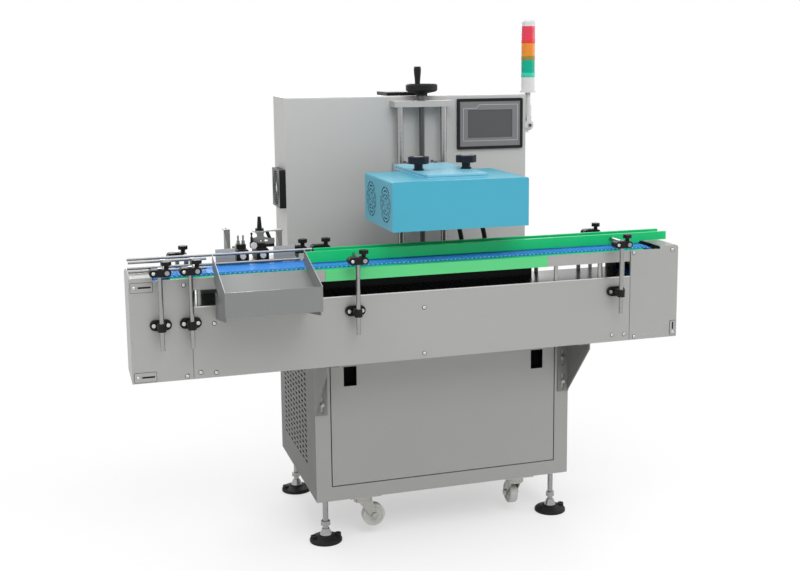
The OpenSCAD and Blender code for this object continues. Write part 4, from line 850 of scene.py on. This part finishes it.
def clamp_screws():
    """The screws of the lower clamps, and of the clamps on top of the posts."""
    clamp_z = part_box("post_clamps")[0].z + CLAMP_H / 2
    head_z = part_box("front_rail_posts")[1].z
    lower = []
    for node, axis, face in (("front_rail_posts", FRONT, BEAM_FRONT), ("front_rod_posts", FRONT, BEAM_FRONT),
                             ("rear_rail_posts", BACK, BEAM_BACK), ("rear_rod_posts", BACK, BEAM_BACK)):
        upper = []
        for middle in post_places(node):
            x, y = middle.x, middle.y + axis.y * CLAMP_H / 2
            for side in (-1, 1):
                lower.append(facing((x + side * CLAMP_LOBE, face + axis.y * CLAMP_FACE, clamp_z), axis))
            upper.append(facing((x - CROSS_ROD, y, head_z - KNOB_H), axis))
        fasteners(node + "_screws", button_head(*POST_SCREW), upper, steel_screw, node)
    fasteners("lower_clamp_screws", cap_head(*CLAMP_SCREW), lower, steel_screw)


GUSSET_H = 0.186
GUSSET_T = 0.004
GUSSET_BOLTS = (0.425, 0.83)
GUSSET_BOLT_X = 0.020
GUSSET_BOLT_Y = 0.050


def gusset_bolts():
    """The bolts of the gussets, two into the base and one up into the beam on each side."""
    low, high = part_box("base_gussets")
    base_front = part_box("base_front_frame")[0].y
    places = []
    for x in (low.x + GUSSET_BOLT_X, high.x - GUSSET_BOLT_X):
        for share in GUSSET_BOLTS:
            places.append(facing((x, base_front - GUSSET_T, high.z - share * GUSSET_H), FRONT))
        places.append(facing((x, BEAM_FRONT + GUSSET_BOLT_Y, high.z - GUSSET_T), -UP))
    fasteners("gusset_bolts", hex_head(*GUSSET_BOLT), places, zinc)


CARRIAGE_SCREWS = ((0.096, 0.215), (0.189, 0.215), (0.096, 0.252), (0.189, 0.252))


def carriage_bolts():
    """The four screws on top of the carriage."""
    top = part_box("lift_carriage")[1].z
    places = [facing((x, y, top), UP) for x, y in CARRIAGE_SCREWS]
    fasteners("carriage_bolts", cap_head(*CARRIAGE_SCREW), places, steel_dark, "sealing_head")


CASTER_HALF = 0.0175


def caster_nuts():
    """The nuts on the axle of each caster."""
    for corner in CORNERS:
        low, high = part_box("caster_wheel_" + corner)
        middle = (low + high) / 2
        across = RIGHT if high.x - low.x < high.y - low.y else BACK
        places = [facing(middle + side * across * CASTER_HALF, side * across) for side in (-1, 1)]
        fasteners("caster_nuts_" + corner, hex_head(*CASTER_NUT), places, zinc, "caster_fork_" + corner)


# Threads
SCREW_D = 0.018
SCREW_PITCH = 0.004
SCREW_DEPTH = 0.0016
COLLAR_H = 0.015
COLLAR_BEVEL = 0.0003
STEM_D = 0.0168
STEM_PITCH = 0.003
STEM_DEPTH = 0.0010
STEM_BOTTOM = 0.040
THREAD_STEPS = 20
# Share of the pitch, and share of the depth
THREAD_PROFILE = ((0.0, 1), (0.36, 1), (0.5, 0), (0.86, 0))


def threaded_rod(bottom, top, d, pitch, depth):
    """A rod with a trapezoid thread, turned about Z."""
    shape = bmesh.new()
    turns = int((top - bottom) / pitch)
    rows = []
    for k in range(turns * THREAD_STEPS + 1):
        a = 2 * math.pi * k / THREAD_STEPS
        row = []
        for share, dip in THREAD_PROFILE:
            r = d / 2 - dip * depth
            z = min(bottom + (k / THREAD_STEPS + share) * pitch, top)
            row.append(shape.verts.new((r * math.cos(a), r * math.sin(a), z)))
        rows.append(row)
    for k, row in enumerate(rows[:-1]):
        after = rows[k + 1]
        for i in range(len(row) - 1):
            shape.faces.new((row[i], after[i], after[i + 1], row[i + 1]))
        if k + THREAD_STEPS + 1 < len(rows):
            above, above_after = rows[k + THREAD_STEPS], rows[k + THREAD_STEPS + 1]
            shape.faces.new((row[-1], after[-1], above_after[0], above[0]))
    return shape


def lift_screw():
    """The lead screw, with its thread up to the column's top plate and its collar above that."""
    low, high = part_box("lead_screw")
    middle = (low + high) / 2
    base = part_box("lift_column")[1].z
    r = SCREW_D / 2
    collar = (high.x - low.x) / 2
    shape = threaded_rod(low.z, base, SCREW_D, SCREW_PITCH, SCREW_DEPTH)
    add_shape(shape, lathe(((0, base), (r, base), (collar, base + COLLAR_BEVEL),
                            (collar, base + COLLAR_BEVEL + COLLAR_H), (r, base + 2 * COLLAR_BEVEL + COLLAR_H),
                            (r, high.z), (0, high.z))))
    moved(shape, Matrix.Translation((middle.x, middle.y, 0)))
    screw = piece("lead_screw_thread", shape, steel_dark, "lift_screw")
    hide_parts("lead_screw")


def foot_threads():
    """The threads of the levelling feet, from the cone up to the cabinet's floor."""
    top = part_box("base_shell")[0].z
    places = [Matrix.Translation((middle.x, middle.y, 0)) for middle in post_places("levelling_feet")]
    stem = threaded_rod(STEM_BOTTOM, top, STEM_D, STEM_PITCH, STEM_DEPTH)
    fasteners("foot_threads", stem, places, steel_bright)


# Belt of moulded links
BELT_T = 0.008
BELT_PITCH = 0.0127
FINGERS = 12
FINGER_GAP = 0.0004
FINGER_LOW = 0.0022
EDGE_NOTCH = 0.0045
LINK_BOTTOM = 0.0002
LINK_BEVEL = 0.0008
BAR_DROP = 0.0006
# Half the bar, half a tooth, and the short and the long end of a finger, as shares of the pitch
BAR_HALF = 0.24
TOOTH_HALF = 0.26
FINGER_SHORT = 0.20
FINGER_LONG = 0.66
PIN_PROFILE = ((0, 0), (0.0022, 0), (0.0022, 0.0006), (0.0016, 0.0010), (0, 0.0011))
PIN_INSET = 0.0002


def block(shape, u0, u1, v0, v1, n0, n1):
    """A block whose upper edges are bevelled, in travel, width and height."""
    b = LINK_BEVEL
    edge = n1 - b
    lower = [shape.verts.new(c) for c in ((u0, v0, n0), (u1, v0, n0), (u1, v1, n0), (u0, v1, n0))]
    middle = [shape.verts.new(c) for c in ((u0, v0, edge), (u1, v0, edge), (u1, v1, edge), (u0, v1, edge))]
    corners = ((u0 + b, v0 + b, n1), (u1 - b, v0 + b, n1), (u1 - b, v1 - b, n1), (u0 + b, v1 - b, n1))
    top = [shape.verts.new(c) for c in corners]
    join_rings(shape, (lower, middle, top))
    shape.faces.new(list(reversed(lower)))
    shape.faces.new(top)


def belt_link(width, pitch):
    """One link: a bar, fingers that reach between those of the next link, and a tooth at each edge."""
    shape = bmesh.new()
    half = BELT_T / 2
    bottom = LINK_BOTTOM - half
    bar, tooth = BAR_HALF * pitch, TOOTH_HALF * pitch
    block(shape, -bar, bar, EDGE_NOTCH, width - EDGE_NOTCH, bottom, half - BAR_DROP)
    for v in (0, width - EDGE_NOTCH):
        block(shape, -tooth, tooth, v, v + EDGE_NOTCH, bottom, half)
    step = (width - 2 * EDGE_NOTCH) / FINGERS
    for k in range(FINGERS):
        v = EDGE_NOTCH + k * step
        u0, u1 = (-FINGER_SHORT, FINGER_LONG) if k % 2 == 0 else (-FINGER_LONG, FINGER_SHORT)
        block(shape, u0 * pitch, u1 * pitch, v + FINGER_GAP, v + step - FINGER_GAP, FINGER_LOW - half, half)
    return shape


def link_belt():
    """The belt, as links round both shafts, with the ends of their pins."""
    low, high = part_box("conveyor_belt")
    width = high.y - low.y
    outer = (high.z - low.z) / 2
    r = outer - BELT_T / 2
    shaft_x = high.x - outer
    shaft_z = (high.z + low.z) / 2
    straight = 2 * shaft_x
    turn = math.pi * r
    count = round(2 * (straight + turn) / BELT_PITCH)
    pitch = 2 * (straight + turn) / count
    middle = Matrix.Translation((0, low.y, shaft_z))
    places = []
    for i in range(count):
        half, s = divmod((i + 0.5) * pitch, straight + turn)
        angle = max(0.0, s - straight) / r
        x = min(s, straight) - shaft_x + r * math.sin(angle)
        link = Matrix.Translation((x, 0, r * math.cos(angle))) @ Matrix.Rotation(angle, 4, "Y")
        places.append(middle @ Matrix.Rotation(half * math.pi, 4, "Y") @ link)
    belt = piece("link_belt", copies(belt_link(width, pitch), places), belt_blue)
    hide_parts("conveyor_belt")
    ends = []
    for place in places:
        ends.append(place @ facing((pitch / 2, PIN_INSET, 0), FRONT))
        ends.append(place @ facing((pitch / 2, width - PIN_INSET, 0), BACK))
    piece("belt_pins", copies(lathe(PIN_PROFILE, 12), ends), belt_pale)


# Head
# Sizes of the dark plate behind the vents, which is painted shade
VENT_SHADE_TOP = 0.008
VENT_SHADE_CORNER = 0.006
VENT_SHADE_X = 0.0024
VENT_SHADE_T = 0.0012
ARM_SEAM_T = 0.0012
ARM_SEAM_PROUD = 0.0002
ARM_SEAM_IN = 0.001
ARM_CORNER = 0.0042
ARM_INNER_CORNER = 0.003
KNOB_CAP = ((0, 0), (0.0125, 0), (0.0125, 0.0006), (0.0115, 0.0012), (0.006, 0.0017), (0, 0.0018))


def vent_shade_plate():
    """A dark plate behind the two round vents of the head: painted shade inside the head, seen through the
    vents.
    """
    low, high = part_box("head_cover")
    outer = round_outline(low.y + VENT_MARGIN, high.y - VENT_MARGIN, low.z + VENT_MARGIN, high.z - VENT_SHADE_TOP,
                          VENT_SHADE_CORNER)
    turn = Matrix(((0, 0, 1, low.x + VENT_SHADE_X), (1, 0, 0, 0), (0, 1, 0, 0), (0, 0, 0, 1)))
    piece("vent_shade_sheet", moved(plate((outer,), VENT_SHADE_T), turn), vent_shade_blue, "sealing_head")


def arm_seam():
    """The joint between the two layers of the arm plate, round its edge."""
    low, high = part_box("head_arm_plate")
    out, into = ARM_SEAM_PROUD, ARM_SEAM_IN
    outer = round_outline(low.x - out, high.x + out, low.y - out, high.y + out, ARM_CORNER, 6)
    inner = round_outline(low.x + into, high.x - into, low.y + into, high.y - into, ARM_INNER_CORNER, 6)
    place = Matrix.Translation((0, 0, (low.z + high.z) / 2 - ARM_SEAM_T / 2))
    seam = moved(plate((outer, inner), ARM_SEAM_T), place)
    piece("arm_plate_seam", seam, seam_blue, "sealing_head")


def knob_caps():
    """The pressed-in caps on top of the star knobs."""
    for side in ("left", "right"):
        low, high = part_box("star_knob_" + side)
        middle = (low + high) / 2
        cap = moved(lathe(KNOB_CAP, 32), Matrix.Translation((middle.x, middle.y, high.z)))
        piece("star_knob_cap_" + side, cap, cap_grey, "star_knob_" + side)


# Reject unit, drawn from the middle of the right cylinder's top, as seen from the front
CYLINDER_TOP = 0.0172
CYLINDER_FRONT = 0.0062
FORK_LEFT = ((-0.016, 0.0426), (-0.010, 0.037), (-0.0079, 0.0338), (-0.0095, 0.030), (-0.0144, 0.028),
             (-0.025, 0.0272), (-0.0265, 0.022), (-0.0258, 0.0164), (-0.0176, 0.0096))
FORK_BOTTOM = (0.004, 0.0082, 0.013, 0.0036, 170, 10, 8)
FORK_RIGHT = ((0.0215, 0.0079), (0.0384, 0.0091), (0.0394, 0.012), (0.0394, 0.0246), (0.0247, 0.0247),
              (0.014, 0.028), (0.0085, 0.0308), (0.0076, 0.0328), (0.0090, 0.037), (0.0125, 0.0426))
FORK_SLOT = (0.0101, 0.0182, 0.0114, 0.0030, 0, 345, 23)
FOOT_LEFT = (-0.016, -0.0013, 0.0, 0.0094, 0.0015)
FOOT_RIGHT = (0.0115, 0.0384, 0.0, 0.0088, 0.0015)
STRUT = ((0.015, 0.0424), (0.0247, 0.0424), (0.032, 0.0235), (0.022, 0.0235))
REGULATOR = (-0.031, -0.0145, 0.0, 0.017, 0.003)
# Thickness, bevel and distance behind the cylinder's front
FORK_DEPTHS = (0.004, 0.0005, 0.0358)
FOOT_DEPTHS = (0.014, 0.0008, 0.0438)
STRUT_DEPTHS = (0.006, 0.0006, 0.0458)
REGULATOR_DEPTHS = (0.015, 0.0012, 0.035)
DIAL_PROFILE = ((0, 0), (0.006, 0), (0.006, 0.004), (0.0090, 0.0045), (0.0093, 0.006), (0.0093, 0.010),
                (0.0083, 0.0112), (0, 0.0112))
DIAL_PLACE = Vector((-0.0228, 0.020, 0.0085))
TIP_PROFILE = ((0, 0.0165), (0.0036, 0.0165), (0.0036, 0.030), (0.0022, 0.032), (0.0020, 0.037),
               (0.0030, 0.038), (0.0030, 0.0425), (0.0018, 0.0435), (0, 0.0436))
TIP_PLACE = Vector((-0.0262, 0.0275, 0))


def reject_details():
    """The forked bracket under the sensor, with its black feet and strut, and the regulator beside it."""
    low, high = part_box("pusher_right")
    x = (low.x + high.x) / 2
    front = low.y + CYLINDER_FRONT
    top = (low.z + high.z) / 2 + CYLINDER_TOP
    corner = Vector((x, front, top))

    def stand(outlines, depth, bevel, behind):
        return moved(plate(outlines, depth, bevel), upright(x, front + behind, top))

    outline = [*FORK_LEFT, *arc(*FORK_BOTTOM), *FORK_RIGHT]
    fork = stand((list(reversed(outline)), arc(*FORK_SLOT)), *FORK_DEPTHS)
    # The fork takes the darker copy of the steel that stands for shade
    piece("sensor_fork", fork, steel_shaded)
    feet = stand((round_outline(*FOOT_LEFT),), *FOOT_DEPTHS)
    add_shape(feet, stand((round_outline(*FOOT_RIGHT),), *FOOT_DEPTHS))
    add_shape(feet, stand((STRUT,), *STRUT_DEPTHS))
    piece("sensor_fork_feet", feet, black)
    piece("regulator_body", stand((round_outline(*REGULATOR),), *REGULATOR_DEPTHS), black)
    dial = moved(lathe(DIAL_PROFILE, 32), facing(corner + DIAL_PLACE, FRONT))
    piece("regulator_dial", dial, white)
    tip = moved(lathe(TIP_PROFILE), Matrix.Translation(corner + TIP_PLACE))
    piece("regulator_fitting", tip, black)


# Signal tower, fan and touch panel
BAND_SHARE = 0.26
HUB_PROFILE = ((0, 0), (0.0155, 0), (0.0155, 0.0006), (0.0145, 0.0011), (0, 0.0013))
PANEL_RIM_W = 0.0092
PANEL_RIM_T = 0.0015
LINE_W = 0.0016
LINE_T = 0.0004
# The line's distance from the plate's edges, and its step
LINE_LEFT = 0.011
LINE_RIGHT = 0.008
LINE_BOTTOM = 0.017
LINE_TOP = 0.010
STEP_DROP = 0.011
STEP_START = 0.056
STEP_END = 0.066
STEP_MITRE = 0.4


def lens_bands():
    """The lower rim of each lens, where the next one shows through."""
    for name, material in (("red", band_red), ("amber", band_olive), ("green", band_green)):
        low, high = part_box("lens_" + name)
        r = (high.x - low.x) / 2
        h = BAND_SHARE * (high.z - low.z)
        band = lathe(((r - 0.001, 0), (r + 0.0002, 0.0003), (r + 0.0004, 0.0012), (r + 0.0004, h - 0.0012),
                      (r + 0.0002, h - 0.0003), (r - 0.001, h)), 48)
        ring = Matrix.Translation(((low.x + high.x) / 2, (low.y + high.y) / 2, low.z))
        piece("lens_band_" + name, moved(band, ring), material, "signal_tower")


def tower_screw():
    """The screw in the hinge of the signal tower."""
    hinge = next(j for j in frame["record"]["behaviour"]["joints"] if j["name"] == "tower_fold")
    x, _, z = hinge["pos_m"]
    place = facing((x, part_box("tower_bracket")[0].y, z), FRONT)
    piece("tower_hinge_screw", moved(cap_head(*HINGE_SCREW), place), steel_dark)


def fan_hub():
    """The bright plate on the hub of the fan."""
    low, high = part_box("fan_rotor")
    place = facing((low.x, (low.y + high.y) / 2, (low.z + high.z) / 2), -RIGHT)
    piece("fan_hub_plate", moved(lathe(HUB_PROFILE, 40), place), steel_screw, "fan_rotor")


def touch_trim():
    """The fine line round the screen of the touch panel, with the step at its upper left."""
    low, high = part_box("touch_panel")
    x0, x1 = low.x + PANEL_RIM_W, high.x - PANEL_RIM_W
    z0, z1 = low.z + PANEL_RIM_W, high.z - PANEL_RIM_W
    left, right = x0 + LINE_LEFT, x1 - LINE_RIGHT
    bottom, top = z0 + LINE_BOTTOM, z1 - LINE_TOP

    def outline(g):
        start, end = x0 + STEP_START + STEP_MITRE * g, x0 + STEP_END + STEP_MITRE * g
        return [(left + g, bottom + g), (right - g, bottom + g), (right - g, top - g), (end, top - g),
                (start, top - STEP_DROP - g), (left + g, top - STEP_DROP - g)]

    line = moved(plate((outline(0), outline(LINE_W)), LINE_T), upright(y=low.y + PANEL_RIM_T))
    piece("touch_panel_line", line, panel_line)


# Stage and light
FLOOR_SIZE = 14
FLOOR_DROP = 0.0005
FLOOR_COLOR = (0.88, 0.88, 0.88, 1)
# Where the floor's fade to white starts and ends, and how far it has gone at the start
FADE_START = 0.7
FADE_END = 2.2
FADE_LEAST = 0.5
AMBIENT = 0.42
AIM = Vector((0, 0, 0.8))
# Name, place, size, power, and whether the lamp shows in reflections
LAMPS = (("lamp_top", (-0.3, -0.5, 3.8), (4.4, 3.2), 52, True),
         ("lamp_front", (0.3, -4.0, 4.0), (3.0, 2.2), 112, False),
         ("lamp_left", (-2.4, -1.2, 2.9), (1.6, 2.0), 28, True),
         ("lamp_right", (3.4, -0.6, 2.2), (1.6, 2.4), 30, True),
         ("lamp_back", (0.4, 3.4, 2.4), (3.0, 1.8), 60, True))


def make_floor():
    """A plain pale floor that takes the shadow and fades to the white of the background."""
    shape = bmesh.new()
    bmesh.ops.create_grid(shape, x_segments=1, y_segments=1, size=FLOOR_SIZE)
    mesh = bpy.data.meshes.new("floor")
    shape.to_mesh(mesh)
    shape.free()
    floor = add_object("floor", mesh)
    floor.location.z = -FLOOR_DROP
    material = bpy.data.materials.new("floor")
    material.use_nodes = True
    tree = material.node_tree
    shader = tree.nodes["Principled BSDF"]
    fill(tree, shader, Base_Color=FLOOR_COLOR, Roughness=0.9, Specular_IOR_Level=0.1)
    glow = add_node(tree, "Emission")
    far = add_node(tree, "VectorMath")
    far.operation = "LENGTH"
    tree.links.new(add_node(tree, "TexCoord").outputs["Object"], far.inputs[0])
    fade = add_node(tree, "MapRange", Value=far.outputs["Value"], From_Min=FADE_START, From_Max=FADE_END,
                    To_Min=FADE_LEAST)
    fade.interpolation_type = "SMOOTHSTEP"
    rays = add_node(tree, "LightPath").outputs
    seen = math_node(tree, "MAXIMUM", rays["Is Camera Ray"], rays["Is Glossy Ray"])
    share = math_node(tree, "MULTIPLY", fade.outputs["Result"], seen)
    mix_shaders(tree, share, shader.outputs["BSDF"], glow.outputs["Emission"], "Material Output")
    mesh.materials.append(material)


def make_world():
    """White to the camera, to mirrors and through lenses, and a softer light for everything else."""
    world = bpy.data.worlds.new("studio")
    bpy.context.scene.world = world
    world.use_nodes = True
    tree = world.node_tree
    plain = tree.nodes["Background"]
    fill(tree, plain, Color=(1, 1, 1, 1), Strength=AMBIENT)
    backdrop = add_node(tree, "Background", Color=(1, 1, 1, 1))
    rays = add_node(tree, "LightPath").outputs
    seen = math_node(tree, "MAXIMUM", rays["Is Camera Ray"], rays["Is Glossy Ray"])
    through = math_node(tree, "MAXIMUM", seen, rays["Is Transmission Ray"])
    mix_shaders(tree, through, plain.outputs["Background"], backdrop.outputs["Background"], "World Output")


def make_lamp(name, place, size, power, mirrored):
    """A flat lamp that points at the machine."""
    data = bpy.data.lights.new(name, "AREA")
    data.shape = "RECTANGLE"
    data.size, data.size_y = size
    data.energy = power
    lamp = add_object(name, data)
    lamp.matrix_world = facing(place, Vector(place) - AIM)
    lamp.visible_glossy = mirrored


make_camera()
bpy.context.scene.view_settings.view_transform = "Standard"
make_world()
make_floor()
for lamp_row in LAMPS:
    make_lamp(*lamp_row)

coil_cables()
beam_screws()
tension_tabs()
cover_seams()
rear_covers()
skirt_hems()
clamp_screws()
gusset_bolts()
carriage_bolts()
caster_nuts()
lift_screw()
link_belt()
foot_threads()
vent_shade_plate()
arm_seam()
knob_caps()
reject_details()
lens_bands()
tower_screw()
fan_hub()
touch_trim()
